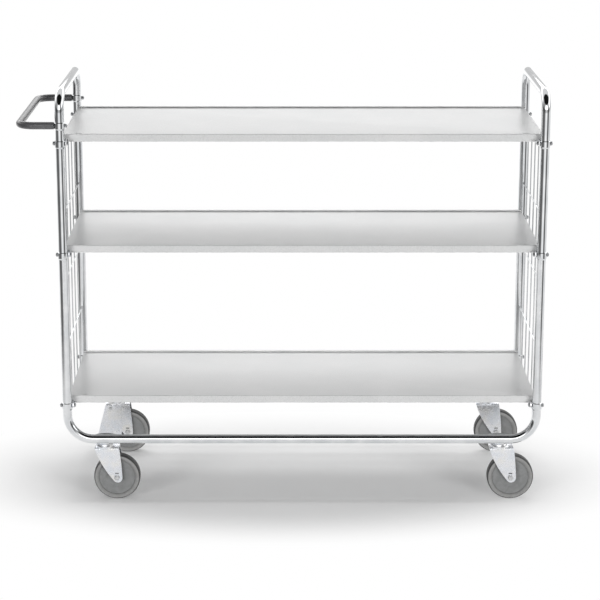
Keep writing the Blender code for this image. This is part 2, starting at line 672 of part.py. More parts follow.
def brake_pin_mesh():
    """The riveted pin through the fork that the brake yoke swings on."""
    head = BRAKE_OUTER_Y + FIT
    tip = head + BRAKE_PIN_HEAD_HEIGHT
    side = [(BRAKE_PIN_HEAD_R, tip), (BRAKE_PIN_HEAD_R, head), (BRAKE_PIN_R, head)]
    return turned("brake_pin", side + [(r, -y) for r, y in side[::-1]], PIN_SIDES, Y_AXIS)


def build_frame(root, looks):
    """Base tubes, posts, risers, hoops and the handle, with the bolts through their joints."""
    chrome = looks["chrome"]
    lower_wires = [z for z in cross_wire_heights() if BOTTOM_RIM < z < MIDDLE_RIM]
    upper_wires = [z for z in cross_wire_heights() if MIDDLE_RIM < z < TOP_RIM]
    base = base_tube_mesh()
    lower = post_mesh("lower_post", BOTTOM_RIM, MIDDLE_RIM, lower_wires)
    upper = post_mesh("upper_post", MIDDLE_RIM, TOP_RIM, upper_wires)
    riser = post_mesh("handle_riser", TOP_RIM, HANDLE_RIM, bolt_below=HANDLE_BOLT_BELOW_RIM)
    bolt = bolt_mesh("joint_bolt", SOCKET_R + FIT, NUT_X, X_AXIS, BOLT_R, BOLT_FLATS,
                     BOLT_HEAD_HEIGHT)
    for row, y, turn in (("front", -POST_Y, 0), ("rear", POST_Y, math.pi)):
        place(f"{row}_base_tube", base, chrome, root, (0, y, 0), turn)
        place(f"{row}_handle_riser", riser, chrome, root, (-POST_X, y, TOP_RIM), turn)
        for end, x, bolt_turn in (("left", -POST_X, 0), ("right", POST_X, math.pi)):
            corner = f"{row}_{end}"
            place(f"lower_post_{corner}", lower, chrome, root, (x, y, BOTTOM_RIM), turn)
            place(f"upper_post_{corner}", upper, chrome, root, (x, y, MIDDLE_RIM), turn)
            for level, rim in JOINT_RIMS.items():
                place(f"{level}_bolt_{corner}", bolt, looks["zinc"], root,
                      (x, y, rim - BOLT_BELOW_RIM), bolt_turn)
    place("left_hoop", hoop_mesh(HANDLE_RIM, HANDLE_BOLT_BELOW_RIM), chrome, root, (-POST_X, 0, 0))
    place("right_hoop", hoop_mesh(TOP_RIM, BOLT_BELOW_RIM), chrome, root, (POST_X, 0, 0))
    place("push_handle", handle_mesh(), looks["handle"], root)


def build_shelves(root, looks):
    """Three shelves, the bars that carry them and the wire panels at both ends."""
    shelf = shelf_mesh()
    bearer = bearer_mesh()
    panel = wire_panel_mesh()
    for level, rim in JOINT_RIMS.items():
        top = rim + SHELF_ABOVE_RIM
        place(f"{level}_shelf", shelf, looks["shelf"], root, (0, 0, top))
        place(f"{level}_bearer_left", bearer, looks["zinc"], root, (-POST_X, 0, top))
        place(f"{level}_bearer_right", bearer, looks["zinc"], root, (POST_X, 0, top), math.pi)
    place("left_wire_panel", panel, looks["chrome"], root, (-POST_X, 0, 0))
    place("right_wire_panel", panel, looks["chrome"], root, (POST_X, 0, 0), math.pi)


def build_castors(root, looks):
    """Four swivel castors, each under its own empty on the swivel axis."""
    head = castor_head_mesh()
    core = wheel_core_mesh()
    tyre = tyre_mesh()
    axle = bolt_mesh("wheel_axle", FORK_OUTER_Y + FIT, FORK_OUTER_Y + FIT, Y_AXIS, AXLE_R,
                     AXLE_FLATS, AXLE_HEAD_HEIGHT)
    plain_fork = fork_mesh(brake_pin=False)
    braked_fork = fork_mesh(brake_pin=True)
    hub = (CASTOR_TRAIL, 0, WHEEL_R)
    for row, y in (("front", -CASTOR_Y), ("rear", CASTOR_Y)):
        for end, x in (("left", -CASTOR_X), ("right", CASTOR_X)):
            corner = f"{row}_{end}"
            braked = corner == "rear_left"
            axis = datum(f"swivel_axis_{corner}", root, (x, y, 0))
            place(f"castor_head_{corner}", head, looks["zinc"], axis)
            place(f"castor_fork_{corner}", braked_fork if braked else plain_fork, looks["zinc"], axis)
            place(f"wheel_axle_{corner}", axle, looks["steel"], axis, hub)
            place(f"wheel_core_{corner}", core, looks["core"], axis, hub)
            place(f"tyre_{corner}", tyre, looks["tyre"], axis, hub)
            if braked:
                pin = (BRAKE_PIN_X, 0, BRAKE_PIN_Z)
                place("brake_yoke", brake_yoke_mesh(), looks["zinc"], axis, pin)
                place("brake_pin", brake_pin_mesh(), looks["steel"], axis, pin)


def build():
    clear_scene()
    looks = {
        "chrome": surface("chrome_plate", (0.80, 0.80, 0.81), 0.08, 1),
        "zinc": surface("bright_zinc", (0.72, 0.74, 0.77), 0.28, 1),
        "steel": surface("dull_steel", (0.45, 0.46, 0.47), 0.35, 1),
        "shelf": surface("light_grey_powder_coat", (0.62, 0.62, 0.62), 0.30, 0),
        "handle": surface("dark_grey_powder_coat", (0.075, 0.075, 0.08), 0.35, 0),
        "core": surface("grey_nylon", (0.24, 0.24, 0.24), 0.45, 0),
        "tyre": surface("grey_rubber", (0.13, 0.13, 0.13), 0.60, 0),
    }
    root = datum("trolley_datum", None, (CENTRE_SHIFT, 0, 0))
    build_frame(root, looks)
    build_shelves(root, looks)
    build_castors(root, looks)


build()
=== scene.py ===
"""Looks of the order picking trolley: its finishes, its finer forms, the studio and the camera.

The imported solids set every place. A piece with rounder tubes, bends or edges than its solid has is
formed here round the same box, stands for that solid and rides on the same body.
"""

import json
import math

import bmesh
import bpy
from mathutils import Matrix, Vector

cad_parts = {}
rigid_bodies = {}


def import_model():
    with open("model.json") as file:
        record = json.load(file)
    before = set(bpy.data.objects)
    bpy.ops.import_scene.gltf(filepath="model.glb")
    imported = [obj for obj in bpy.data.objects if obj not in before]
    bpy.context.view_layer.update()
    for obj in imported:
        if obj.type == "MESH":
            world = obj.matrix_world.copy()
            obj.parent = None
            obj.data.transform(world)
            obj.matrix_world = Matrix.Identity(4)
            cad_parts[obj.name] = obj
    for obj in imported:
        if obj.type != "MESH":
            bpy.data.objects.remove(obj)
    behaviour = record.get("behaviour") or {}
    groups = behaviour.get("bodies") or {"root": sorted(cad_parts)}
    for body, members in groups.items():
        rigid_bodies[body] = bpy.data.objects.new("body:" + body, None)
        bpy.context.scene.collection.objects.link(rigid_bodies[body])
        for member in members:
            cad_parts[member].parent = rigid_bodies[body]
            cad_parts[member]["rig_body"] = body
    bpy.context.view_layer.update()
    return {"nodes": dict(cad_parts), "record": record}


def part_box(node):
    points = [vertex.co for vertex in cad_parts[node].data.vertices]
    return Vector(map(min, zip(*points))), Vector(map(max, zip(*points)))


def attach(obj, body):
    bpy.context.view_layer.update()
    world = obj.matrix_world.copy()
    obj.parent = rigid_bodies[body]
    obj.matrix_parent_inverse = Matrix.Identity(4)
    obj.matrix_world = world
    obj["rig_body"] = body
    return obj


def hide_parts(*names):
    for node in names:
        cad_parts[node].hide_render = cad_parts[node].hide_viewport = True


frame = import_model()
solids = frame["nodes"]
slot_of = {part["node"]: part["material_slot"] for part in frame["record"]["subparts"]}

X_AXIS = Vector((1, 0, 0))
Y_AXIS = Vector((0, 1, 0))
Z_AXIS = Vector((0, 0, 1))
ENDS = ("left", "right")
ROWS = ("front", "rear")
LEVELS = ("bottom", "middle", "top")

# How finely round forms are drawn
TUBE_SIDES = 40
WIRE_SIDES = 12
TURNED_SIDES = 56
WHEEL_SIDES = 112
BEND_STEPS = 16
ROUND_STEPS = 8
FLARE_STEPS = 8
CAP_STEPS = 3
HEX_POINTS = 12
SHARP_ANGLE = math.radians(32)

# The play between pieces, and how far a carving form reaches past the piece that it cuts, in metres
# like every size here
FIT = 0.0003
CARVE_BEYOND = 0.0200

# Frame tube
TUBE_WALL = 0.0015
SOCKET_LENGTH = 0.0155
SOCKET_FLARE = 0.0050
RIM_CHAMFER = (0.0011, 0.0016)
BASE_BEND_R = 0.067
HOOP_BEND_R = 0.050

# Push handle
HANDLE_BEND_R = 0.040
HANDLE_END_ROUND = 0.0025

# Joint bolts
BOLT_R = 0.0030
BOLT_FLATS = 0.0098
BOLT_HEAD_HEIGHT = 0.0040
NUT_HEIGHT = 0.0050
WASHER_R = 0.0062
WASHER_HEIGHT = 0.0008
STUD_END = 0.000875
HEX_FACE_SHARE = 0.9

# Castor pads under the base tubes, and their welds
PAD_SIZE_X = 0.0760
PAD_DROP = 0.0073
PAD_THICKNESS = 0.0040
PAD_CORNER_R = 0.0370
BEAD_R = 0.0017
BEAD_RIPPLE = 0.0035
BEAD_RIPPLE_STEPS = 4
BEAD_RIPPLE_SHARE = 0.12
BEAD_END_SHARE = 0.35
BEAD_END_RISE = 6

# Shelves and wire panels
SHELF_SHEET = 0.0012
SHELF_EDGE = 0.00048
SHELF_BEND_R = 0.0035
REAR_LEDGE_DEPTH = 0.0120
REAR_LEDGE_RISE = 0.0040
HEM_GAP = (0.0045, 0.0024)
PRESS_MARK_INSET = 0.0420
PRESS_MARK_SETBACK = 0.0085
PRESS_MARK = (0.0090, 0.0055)
PRESS_MARK_DEPTH = 0.0009
WIRE_R = 0.0019
WIRE_END = 0.0005
WIRE_WELD = 0.0006
UPRIGHT_WIRE_PITCH = 0.075
UPRIGHT_WIRES_AT = (-2, -1, 0, 1, 2)
CROSS_WIRE_PITCH = 0.180
CROSS_WIRES_AT = (-1, 0, 1)

# Castors: X from the swivel axis, or from the axle for the toe, and Z from the axle
WHEEL_RIM_DEPTH = 0.0142
TYRE_SHOULDER = 0.0062
RIM_HALF = 0.0130
RIM_DEPTH = 0.0042
WEB_HALF = 0.0105
WEB_SLOPE = 0.0025
HUB_R = 0.0120
AXLE_R = 0.0040
AXLE_FLATS = 0.0128
AXLE_HEAD_HEIGHT = 0.0050
FORK_INNER_WIDTH = 0.0350
FORK_SHEET = 0.0025
FORK_RACE_HEIGHT = 0.0101
FORK_FRONT_X = -0.0270
FORK_BACK_X = 0.0385
FORK_KNEE = (0.0445, 0.0550)
FORK_TOE_R = 0.0130
FORK_TOE_OFFSET = (0.0020, -0.0010)
FORK_TOE_START = math.radians(217)
FORK_EDGE_PULL = (-0.0140, 0.0375)
FORK_SHOULDER_R = 0.0050
KEEPER_SLOT = (0.0095, 0.0028)
KEEPER_SLOT_RISE = 0.0105
PRESSED_EDGE = 0.0006
RACE_R = 0.0247
RACE_CHANNEL = 0.0022
RACE_WALL_SHARE = 0.55
KINGPIN_R = 0.0060
KINGPIN_FLATS = 0.0165
KINGPIN_NUT_HEIGHT = 0.0055
KINGPIN_END_SHARE = 0.8
KINGPIN_FLANGE_R = 0.0098
KINGPIN_FLANGE_HEIGHT = 0.0040

# Brake yoke
BRAKE_SHEET = 0.0020
BRAKE_BACK_X = 0.0150
BRAKE_TOP_FRONT_X = -0.0305
BRAKE_BACK_DROP = 0.0025
BRAKE_BACK_LOW_END = -0.0105
BRAKE_TOE_LENGTH = 0.0350
BRAKE_SHOE_HEIGHT = 0.0240
BRAKE_SHOE_WIDTH = 0.0310
BRAKE_SHOE_GAP = 0.01056
BRAKE_RIVET_R = 0.0050
BRAKE_RIVET_HEIGHT = 0.0015
BRAKE_RIVET_AT = (0.0045, 0.0015)
BRAKE_RIVET_DOME = math.radians(81)
BRAKE_PIN_HEAD = 0.0020
BRAKE_PIN_DOME = math.radians(82.8)

# The studio. Its angles go round from the camera's side of the trolley, with minus to its left, and
# its heights in the room are sines of the angle above the horizon.
FLOOR_R = 2.9
FLOOR_DEPTH = 0.02
FLOOR_LIFT = 0.16
MIRRORED_LIFT = 0.40
SEEN_FLOOR = (1, 1.9, 1)
FLOOR_FADE = (0.55, 1.05)
MIRRORED_FLOOR = (1.3, 1, 1)
MIRRORED_FADE = (1.5, 2.7)
AMBIENT_FRONT = 0.0
AMBIENT_BACK = 0.26
ROOM_LIGHT = 3.3
ROOM_BANDS = ((-180, "F6F6F6"), (-128, "EAEAEA"), (-106, "B4B4B4"), (-90, "626262"),
              (-50, "585858"), (-32, "848484"), (-14, "ECECEC"), (12, "F2F2F2"), (26, "A8A8A8"),
              (38, "5A5A5A"), (58, "5C5C5C"), (74, "E4E4E4"), (104, "CECECE"), (140, "EEEEEE"),
              (180, "F6F6F6"))
ROOM_LEVELS = ((-0.06, "AAAAAA"), (0.0, "868686"), (0.19, "808080"), (0.235, "F6F6F6"))
CEILING = "8E8E8E"
CEILING_FROM = (0.45, 0.62)
FLAG_SHADE = "0A0A0A"
FLAG_EDGES = (("Z", 0.52, 0.62), ("Y", 0.16, 0.02), ("X", 0.84, 0.68), ("X", -0.84, -0.68))
OVERHEAD_STRENGTH = 0.46
OVERHEAD_SPREAD = math.radians(9)
OVERHEAD_PLACE = (0, 0, 3)
SOFTBOXES = (("left_softbox", (1.6, 1.2), (-2.6, -3.4, 0.85), 80),
             ("right_softbox", (1.6, 1.2), (2.6, -3.4, 0.85), 86),
             ("back_softbox", (3.2, 1.0), (0, 1.4, 2.3), 34))
SOFTBOX_AIM_SHARE = 0.2
SOFTBOX_AIM_HEIGHT = 0.5

# The photograph's camera
CAMERA_SENSOR = 36
CAMERA_LENS = 118.9
CAMERA_SHIFT = (0.0249, -0.05)
CAMERA_PLACE = (0.0040, -5.2505, 1.9207)
CAMERA_LOOKS_DOWN = 14.25


def linear(hex_colour):
    """An sRGB hex colour such as D8D9DA as linear red, green, blue and alpha."""
    parts = [int(hex_colour[place:place + 2], 16) / 255 for place in (0, 2, 4)]
    return (*[part / 12.92 if part <= 0.04045 else ((part + 0.055) / 1.055) ** 2.4
              for part in parts], 1)


def per_metre(size_mm):
    """A texture scale that repeats about once in `size_mm` millimetres."""
    return 1000 / size_mm


def add(tree, kind, settings=None, inputs=None):
    """Adds a node with its own settings and its inputs, each a value or another node's output."""
    made = tree.nodes.new("ShaderNode" + kind)
    for name, value in (settings or {}).items():
        if name == "stops":
            ramp = made.color_ramp.elements
            ramp.remove(ramp[1])
            ramp[0].position, ramp[0].color = value[0]
            for place, colour in value[1:]:
                ramp.new(place).color = colour
        else:
            setattr(made, name, value)
    for name, value in (inputs or {}).items():
        if isinstance(value, bpy.types.NodeSocket):
            tree.links.new(value, made.inputs[name])
        else:
            made.inputs[name].default_value = value
    return made


def begin(name):
    """An empty material with the piece's own coordinates, in metres."""
    material = bpy.data.materials.new(name)
    material.use_nodes = True
    tree = material.node_tree
    tree.nodes.clear()
    return material, tree, add(tree, "TexCoord").outputs["Object"]


def close(material, tree, height, strength, depth, look):
    """Ends a material with the relief of a pattern, `depth` metres deep, and the surface's look."""
    relief = add(tree, "Bump", {}, {"Height": height.outputs["Fac"], "Strength": strength,
                                    "Distance": depth})
    shader = add(tree, "BsdfPrincipled", {}, {**look, "Normal": relief.outputs["Normal"]})
    add(tree, "OutputMaterial", {}, {"Surface": shader.outputs[0]})
    return material


def chrome_plate():
    """Bright chromium over nickel on polished drawn tube.

    A hard mirror: the eye reads it by the dark and light bands of the room. The polished tube under it
    is very slightly wavy, and wiping leaves a thin haze that dulls some stretches a little.
    """
    material, tree, where = begin("chrome_plate_on_drawn_tube")
    haze = add(tree, "TexNoise", {}, {"Vector": where, "Scale": per_metre(45), "Detail": 4})
    tint = add(tree, "ValToRGB", {"stops": [(0.38, linear("D7D9DB")), (0.66, linear("E6E7E8"))]},
               {"Fac": haze.outputs["Fac"]})
    wiped = add(tree, "TexNoise", {}, {"Vector": where, "Scale": per_metre(7), "Detail": 5})
    gloss = add(tree, "MapRange", {}, {"Value": wiped.outputs["Fac"], "From Min": 0.35,
                                       "From Max": 0.75, "To Min": 0.035, "To Max": 0.10})
    wave = add(tree, "TexNoise", {}, {"Vector": where, "Scale": per_metre(14), "Detail": 1})
    return close(material, tree, height=wave, strength=0.05, depth=0.001, look={
        "Base Color": tint.outputs["Color"], "Metallic": 1, "Roughness": gloss.outputs["Result"]})


def shelf_powder_coat():
    """Light grey polyester powder coat, sprayed and baked on sheet steel.

    Satin, with the shallow orange peel of melted powder and a fine speck in its colour. Goods sliding
    over it leave faint lengthwise rubs that shine a little more. The peel is about 1 mm across on the
    real thing and is drawn at 2.5 mm, so that it shows.
    """
    material, tree, where = begin("light_grey_powder_coat")
    cloud = add(tree, "TexNoise", {}, {"Vector": where, "Scale": per_metre(160), "Detail": 3})
    tint = add(tree, "ValToRGB", {"stops": [(0.3, linear("D6D7D7")), (0.7, linear("DDDDDD"))]},
               {"Fac": cloud.outputs["Fac"]})
    speck = add(tree, "TexNoise", {}, {"Vector": where, "Scale": per_metre(1.6), "Detail": 2})
    speckled = add(tree, "ValToRGB", {"stops": [(0.3, linear("EAEAEA")), (0.55, linear("FFFFFF"))]},
                   {"Fac": speck.outputs["Fac"]})
    colour = add(tree, "Mix", {"data_type": "RGBA", "blend_type": "MULTIPLY"},
                 {"Factor": 1.0, "A": tint.outputs["Color"], "B": speckled.outputs["Color"]})
    along = add(tree, "Mapping", {}, {"Vector": where, "Scale": (
        per_metre(92.6), per_metre(4.274), per_metre(4.274))})
    rub = add(tree, "TexNoise", {}, {"Vector": along.outputs["Vector"], "Scale": 1, "Detail": 4})
    gloss = add(tree, "MapRange", {}, {"Value": rub.outputs["Fac"], "From Min": 0.35,
                                       "From Max": 0.7, "To Min": 0.34, "To Max": 0.30})
    peel = add(tree, "TexNoise", {}, {"Vector": where, "Scale": per_metre(2.5), "Detail": 2})
    return close(material, tree, height=peel, strength=0.12, depth=0.0004, look={
        "Base Color": colour.outputs["Result"], "Roughness": gloss.outputs["Result"], "IOR": 1.5})


def handle_powder_coat():
    """Dark grey powder coat on the handle tube.

    Semi-gloss with a fine texture, a touch smoother and darker where hands polish it. The texture is
    under 1 mm on the real thing and is drawn at 1.4 mm.
    """
    material, tree, where = begin("dark_grey_powder_coat")
    worn = add(tree, "TexNoise", {}, {"Vector": where, "Scale": per_metre(60), "Detail": 4})
    tint = add(tree, "ValToRGB", {"stops": [(0.35, linear("4C4C4E")), (0.7, linear("5B5B5D"))]},
               {"Fac": worn.outputs["Fac"]})
    gloss = add(tree, "MapRange", {}, {"Value": worn.outputs["Fac"], "From Min": 0.3,
                                       "From Max": 0.7, "To Min": 0.22, "To Max": 0.32})
    grain = add(tree, "TexNoise", {}, {"Vector": where, "Scale": per_metre(1.4), "Detail": 2})
    return close(material, tree, height=grain, strength=0.18, depth=0.0003, look={
        "Base Color": tint.outputs["Color"], "Roughness": gloss.outputs["Result"], "IOR": 1.5})


def bright_zinc():
    """Bright zinc, plated and blue passivated, on pressed steel.

    A pale metal with a cool cast that drifts between blue and straw, dulled by the grain of the sheet
    below and by small water marks.
    """
    material, tree, where = begin("blue_passivated_zinc")
    drift = add(tree, "TexNoise", {}, {"Vector": where, "Scale": per_metre(30), "Detail": 3})
    tint = add(tree, "ValToRGB", {"stops": [(0.3, linear("E2E6EC")), (0.52, linear("EAEBEE")),
                                            (0.74, linear("EEEDEA"))]}, {"Fac": drift.outputs["Fac"]})
    marks = add(tree, "TexNoise", {}, {"Vector": where, "Scale": per_metre(3), "Detail": 6})
    gloss = add(tree, "MapRange", {}, {"Value": marks.outputs["Fac"], "From Min": 0.3,
                                       "From Max": 0.75, "To Min": 0.19, "To Max": 0.32})
    grain = add(tree, "TexNoise", {}, {"Vector": where, "Scale": per_metre(1.2), "Detail": 3})
    return close(material, tree, height=grain, strength=0.10, depth=0.0003, look={
        "Base Color": tint.outputs["Color"], "Metallic": 1, "Roughness": gloss.outputs["Result"]})


def fastener_zinc():
    """Zinc on cold-headed bolts and nuts, a darker and rougher metal than on the sheet, with grime in
    its pores."""
    material, tree, where = begin("zinc_on_bolts_and_nuts")
    grime = add(tree, "TexNoise", {}, {"Vector": where, "Scale": per_metre(2.2), "Detail": 5})
    tint = add(tree, "ValToRGB", {"stops": [(0.35, linear("96989A")), (0.65, linear("C6C7C9"))]},
               {"Fac": grime.outputs["Fac"]})
    gloss = add(tree, "MapRange", {}, {"Value": grime.outputs["Fac"], "From Min": 0.3,
                                       "From Max": 0.7, "To Min": 0.42, "To Max": 0.28})
    return close(material, tree, height=grime, strength=0.12, depth=0.0003, look={
        "Base Color": tint.outputs["Color"], "Metallic": 1, "Roughness": gloss.outputs["Result"]})


def plain_steel():
    """Turned and lightly oiled steel of the axle bolts and the brake's pin: mid grey, with a soft
    sheen broken by tool marks."""
    material, tree, where = begin("oiled_turned_steel")
    oil = add(tree, "TexNoise", {}, {"Vector": where, "Scale": per_metre(5), "Detail": 4})
    tint = add(tree, "ValToRGB", {"stops": [(0.35, linear("C2C3C4")), (0.65, linear("DCDCDC"))]},
               {"Fac": oil.outputs["Fac"]})
    marks = add(tree, "TexNoise", {}, {"Vector": where, "Scale": per_metre(0.9), "Detail": 3})
    gloss = add(tree, "MapRange", {}, {"Value": marks.outputs["Fac"], "From Min": 0.3,
                                       "From Max": 0.7, "To Min": 0.26, "To Max": 0.42})
    return close(material, tree, height=marks, strength=0.10, depth=0.0002, look={
        "Base Color": tint.outputs["Color"], "Metallic": 1, "Roughness": gloss.outputs["Result"]})


def moulded_nylon():
    """Grey injection-moulded nylon of the wheel centres: satin, clouded where the melt met, with a
    spark-eroded mould grain of about 0.8 mm, drawn at 1.3 mm."""
    material, tree, where = begin("grey_moulded_nylon")
    flow = add(tree, "TexNoise", {}, {"Vector": where, "Scale": per_metre(22), "Detail": 3,
                                      "Distortion": 1.2})
    tint = add(tree, "ValToRGB", {"stops": [(0.35, linear("7A7B7B")), (0.68, linear("868787"))]},
               {"Fac": flow.outputs["Fac"]})
    grain = add(tree, "TexNoise", {}, {"Vector": where, "Scale": per_metre(1.3), "Detail": 2})
    gloss = add(tree, "MapRange", {}, {"Value": grain.outputs["Fac"], "From Min": 0.3,
                                       "From Max": 0.7, "To Min": 0.38, "To Max": 0.50})
    return close(material, tree, height=grain, strength=0.12, depth=0.0003, look={
        "Base Color": tint.outputs["Color"], "Roughness": gloss.outputs["Result"], "IOR": 1.53})


def grey_rubber():
    """Non-marking grey rubber, moulded solid: dull and a little blotchy.

    The tread and its shoulders are painted darker than the sides: painted shade for faces turned up and
    down, away from the light, under the fork.
    """
    material, tree, where = begin("grey_non_marking_rubber")
    blotch = add(tree, "TexNoise", {}, {"Vector": where, "Scale": per_metre(12), "Detail": 4})
    tint = add(tree, "ValToRGB", {"stops": [(0.35, linear("919190")), (0.7, linear("9E9E9D"))]},
               {"Fac": blotch.outputs["Fac"]})
    facing = add(tree, "NewGeometry").outputs["Normal"]
    local = add(tree, "VectorTransform", {"vector_type": "NORMAL", "convert_from": "WORLD",
                                          "convert_to": "OBJECT"}, {"Vector": facing})
    sideways = add(tree, "SeparateXYZ", {}, {"Vector": local.outputs["Vector"]})
    flat_on = add(tree, "Math", {"operation": "ABSOLUTE"}, {0: sideways.outputs["Y"]})
    # Painted shade: faces turned away from the wheel's sides (the tread and shoulders) are mixed
    # towards dark 3C3C3C.
    tread = add(tree, "MapRange", {}, {"Value": flat_on.outputs["Value"], "From Min": 0.76,
                                       "From Max": 0.92, "To Min": 1, "To Max": 0})
    painted_tread_shade = add(tree, "Mix", {"data_type": "RGBA"},
                {"Factor": tread.outputs["Result"], "A": tint.outputs["Color"], "B": linear("3C3C3C")})
    grain = add(tree, "TexNoise", {}, {"Vector": where, "Scale": per_metre(1.8), "Detail": 4})
    gloss = add(tree, "MapRange", {}, {"Value": blotch.outputs["Fac"], "From Min": 0.3,
                                       "From Max": 0.7, "To Min": 0.56, "To Max": 0.70})
    return close(material, tree, height=grain, strength=0.25, depth=0.0004, look={
        "Base Color": painted_tread_shade.outputs["Result"], "Roughness": gloss.outputs["Result"], "IOR": 1.52})


def ring(centre, along, across, radius, sides):
    """Points on a circle square to `along`."""
    side = along.cross(across)
    angles = [math.tau * step / sides for step in range(sides)]
    return [centre + (side * math.cos(a) + across * math.sin(a)) * radius for a in angles]


def skin(shape, rings, hollow=False):
    """Adds a skin over rings of points, with end caps, or with a band that closes a hollow form."""
    loops = [[shape.verts.new(point) for point in points] for points in rings]
    bands = list(zip(loops, loops[1:]))
    if hollow:
        bands.append((loops[-1], loops[0]))
    else:
        shape.faces.new(loops[0])
        shape.faces.new(loops[-1])
    for low, high in bands:
        for place in range(len(low)):
            after = (place + 1) % len(low)
            shape.faces.new((low[place], low[after], high[after], high[place]))
    return shape


def turned(shape, profile, centre, axis, sides, hollow=False):
    """Adds a form turned about `axis` through `centre` from (radius, height) pairs."""
    across = X_AXIS if axis is Z_AXIS else Z_AXIS
    rings = [ring(centre + axis * height, axis, across, radius, sides) for radius, height in profile]
    return skin(shape, rings, hollow)


def arc(centre, radius, start, end, steps):
    """Points on an arc between two angles, both ends included."""
    turns = [start + (end - start) * step / steps for step in range(steps + 1)]
    return [(centre[0] + radius * math.cos(a), centre[1] + radius * math.sin(a)) for a in turns]


def bar(shape, outline, low, high, axis=Y_AXIS):
    """Adds a flat outline carried along Y from (x, z) pairs, or along X from (y, z) pairs."""
    def spot(pair, depth):
        if axis is Y_AXIS:
            return Vector((pair[0], depth, pair[1]))
        return Vector((depth, pair[0], pair[1]))
    return skin(shape, [[spot(pair, depth) for pair in outline] for depth in (low, high)])


def hexagon(shape, centre, along, flats, height, across=Z_AXIS):
    """Adds a hexagon head or nut from `centre` outwards, its outer corners turned off."""
    side = along.cross(across)
    corner_r = flats / (2 * math.cos(math.pi / 6))
    ease = corner_r - flats / 2
    rings = []
    for radius_share, corner_drop, flat_drop in ((1, 0, 0), (1, height - 2 * ease, height - ease),
                                                 (HEX_FACE_SHARE, height, height)):
        points = []
        for step in range(HEX_POINTS):
            corner = step % 2 == 0
            if radius_share == 1:
                reach = corner_r if corner else flats / 2
            else:
                reach = flats / 2 * radius_share
            turn = math.tau * step / HEX_POINTS
            drop = corner_drop if corner else flat_drop
            points.append(centre + along * drop
                          + (side * math.cos(turn) + across * math.sin(turn)) * reach)
        rings.append(points)
    return skin(shape, rings)


def as_mesh(shape):
    """The form as mesh data, its faces turned outwards."""
    bmesh.ops.recalc_face_normals(shape, faces=shape.faces)
    mesh = bpy.data.meshes.new("form")
    shape.to_mesh(mesh)
    shape.free()
    return mesh


def placed(name, data):
    """A new object in the scene that holds a mesh, a lamp or a camera."""
    thing = bpy.data.objects.new(name, data)
    bpy.context.scene.collection.objects.link(thing)
    return thing


def carved(shape, tool):
    """A new form: what is left of one when a carving form is taken out of it."""
    stock = placed("stock", as_mesh(shape))
    helper = placed("helper", as_mesh(tool))
    step = stock.modifiers.new("step", "BOOLEAN")
    step.operation = "DIFFERENCE"
    step.solver = "EXACT"
    step.object = helper
    sight = bpy.context.evaluated_depsgraph_get()
    made = bmesh.new()
    made.from_mesh(stock.evaluated_get(sight).to_mesh())
    bpy.data.objects.remove(stock)
    bpy.data.objects.remove(helper)
    return made


def dress(shape, node, edge=0):
    """Makes the form stand for a CAD node: same body, the node's own finish and, where `edge` is given,
    corners eased by that much."""
    mesh = as_mesh(shape)
    mesh.name = f"{node}_form"
    piece = placed(f"{node}_form", mesh)
    mesh.materials.append(finishes[slot_of[node]])
    mesh.shade_smooth()
    mesh.set_sharp_from_angle(angle=SHARP_ANGLE)
    if edge:
        easing = piece.modifiers.new("eased_edges", "BEVEL")
        easing.width = edge
        easing.segments = 3
        easing.limit_method = "ANGLE"
        easing.angle_limit = SHARP_ANGLE
        easing.harden_normals = True
    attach(piece, solids[node]["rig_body"])
    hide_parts(node)
    return piece


def middle(node):
    """The middle of a node's box."""
    low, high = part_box(node)
    return (low + high) / 2


def route(corners, bend_r):
    """Stations (point, direction) along straight runs joined by round bends."""
    stations = [(corners[0], (corners[1] - corners[0]).normalized())]
    for before, corner, after in zip(corners, corners[1:], corners[2:]):
        into = (corner - before).normalized()
        out = (after - corner).normalized()
        half = into.angle(out) / 2
        start = corner - into * bend_r * math.tan(half)
        centre = corner + (out - into).normalized() * bend_r / math.cos(half)
        for step in range(BEND_STEPS + 1):
            spin = Matrix.Rotation(2 * half * step / BEND_STEPS, 3, into.cross(out))
            stations.append((centre + spin @ (start - centre), spin @ into))
    stations.append((corners[-1], (corners[-1] - corners[-2]).normalized()))
    return stations


def mouth(rim, outward):
    """Stations of a swaged socket, from the plain tube out to its rounded rim."""
    stations = []
    flare_start = SOCKET_LENGTH + SOCKET_FLARE
    for step in range(FLARE_STEPS + 1):
        share = step / FLARE_STEPS
        swell = (1 - math.cos(math.pi * share)) / 2
        depth = flare_start - SOCKET_FLARE * share
        stations.append((rim - outward * depth, outward, tube_r + (socket_r - tube_r) * swell))
    stations.append((rim - outward * RIM_CHAMFER[1], outward, socket_r))
    stations.append((rim, outward, socket_r - RIM_CHAMFER[0]))
    return stations


def frame_tube(shape, corners, across, mouths, bend_r=BASE_BEND_R):
    """Adds a bent hollow tube; `mouths` says which of its two ends are swaged out into a socket."""
    plain = [(spot, along, tube_r) for spot, along in route(corners, bend_r)]
    if mouths[1]:
        rim, along, _ = plain.pop()
        plain += mouth(rim, along)
    if mouths[0]:
        rim, along, _ = plain.pop(0)
        plain = [(spot, along, radius) for spot, _, radius in mouth(rim, -along)[::-1]] + plain
    outer = [ring(spot, along, across, radius, TUBE_SIDES) for spot, along, radius in plain]
    inner = [ring(spot, along, across, radius - TUBE_WALL, TUBE_SIDES) for spot, along, radius in plain]
    return skin(shape, outer + inner[::-1], hollow=True)


def post(node):
    """A straight post or riser, its lower end plugged into the socket below."""
    low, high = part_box(node)
    axis_x, axis_y = middle(node).x, middle(node).y
    corners = [Vector((axis_x, axis_y, low.z)), Vector((axis_x, axis_y, high.z))]
    dress(frame_tube(bmesh.new(), corners, Y_AXIS, (False, True)), node)


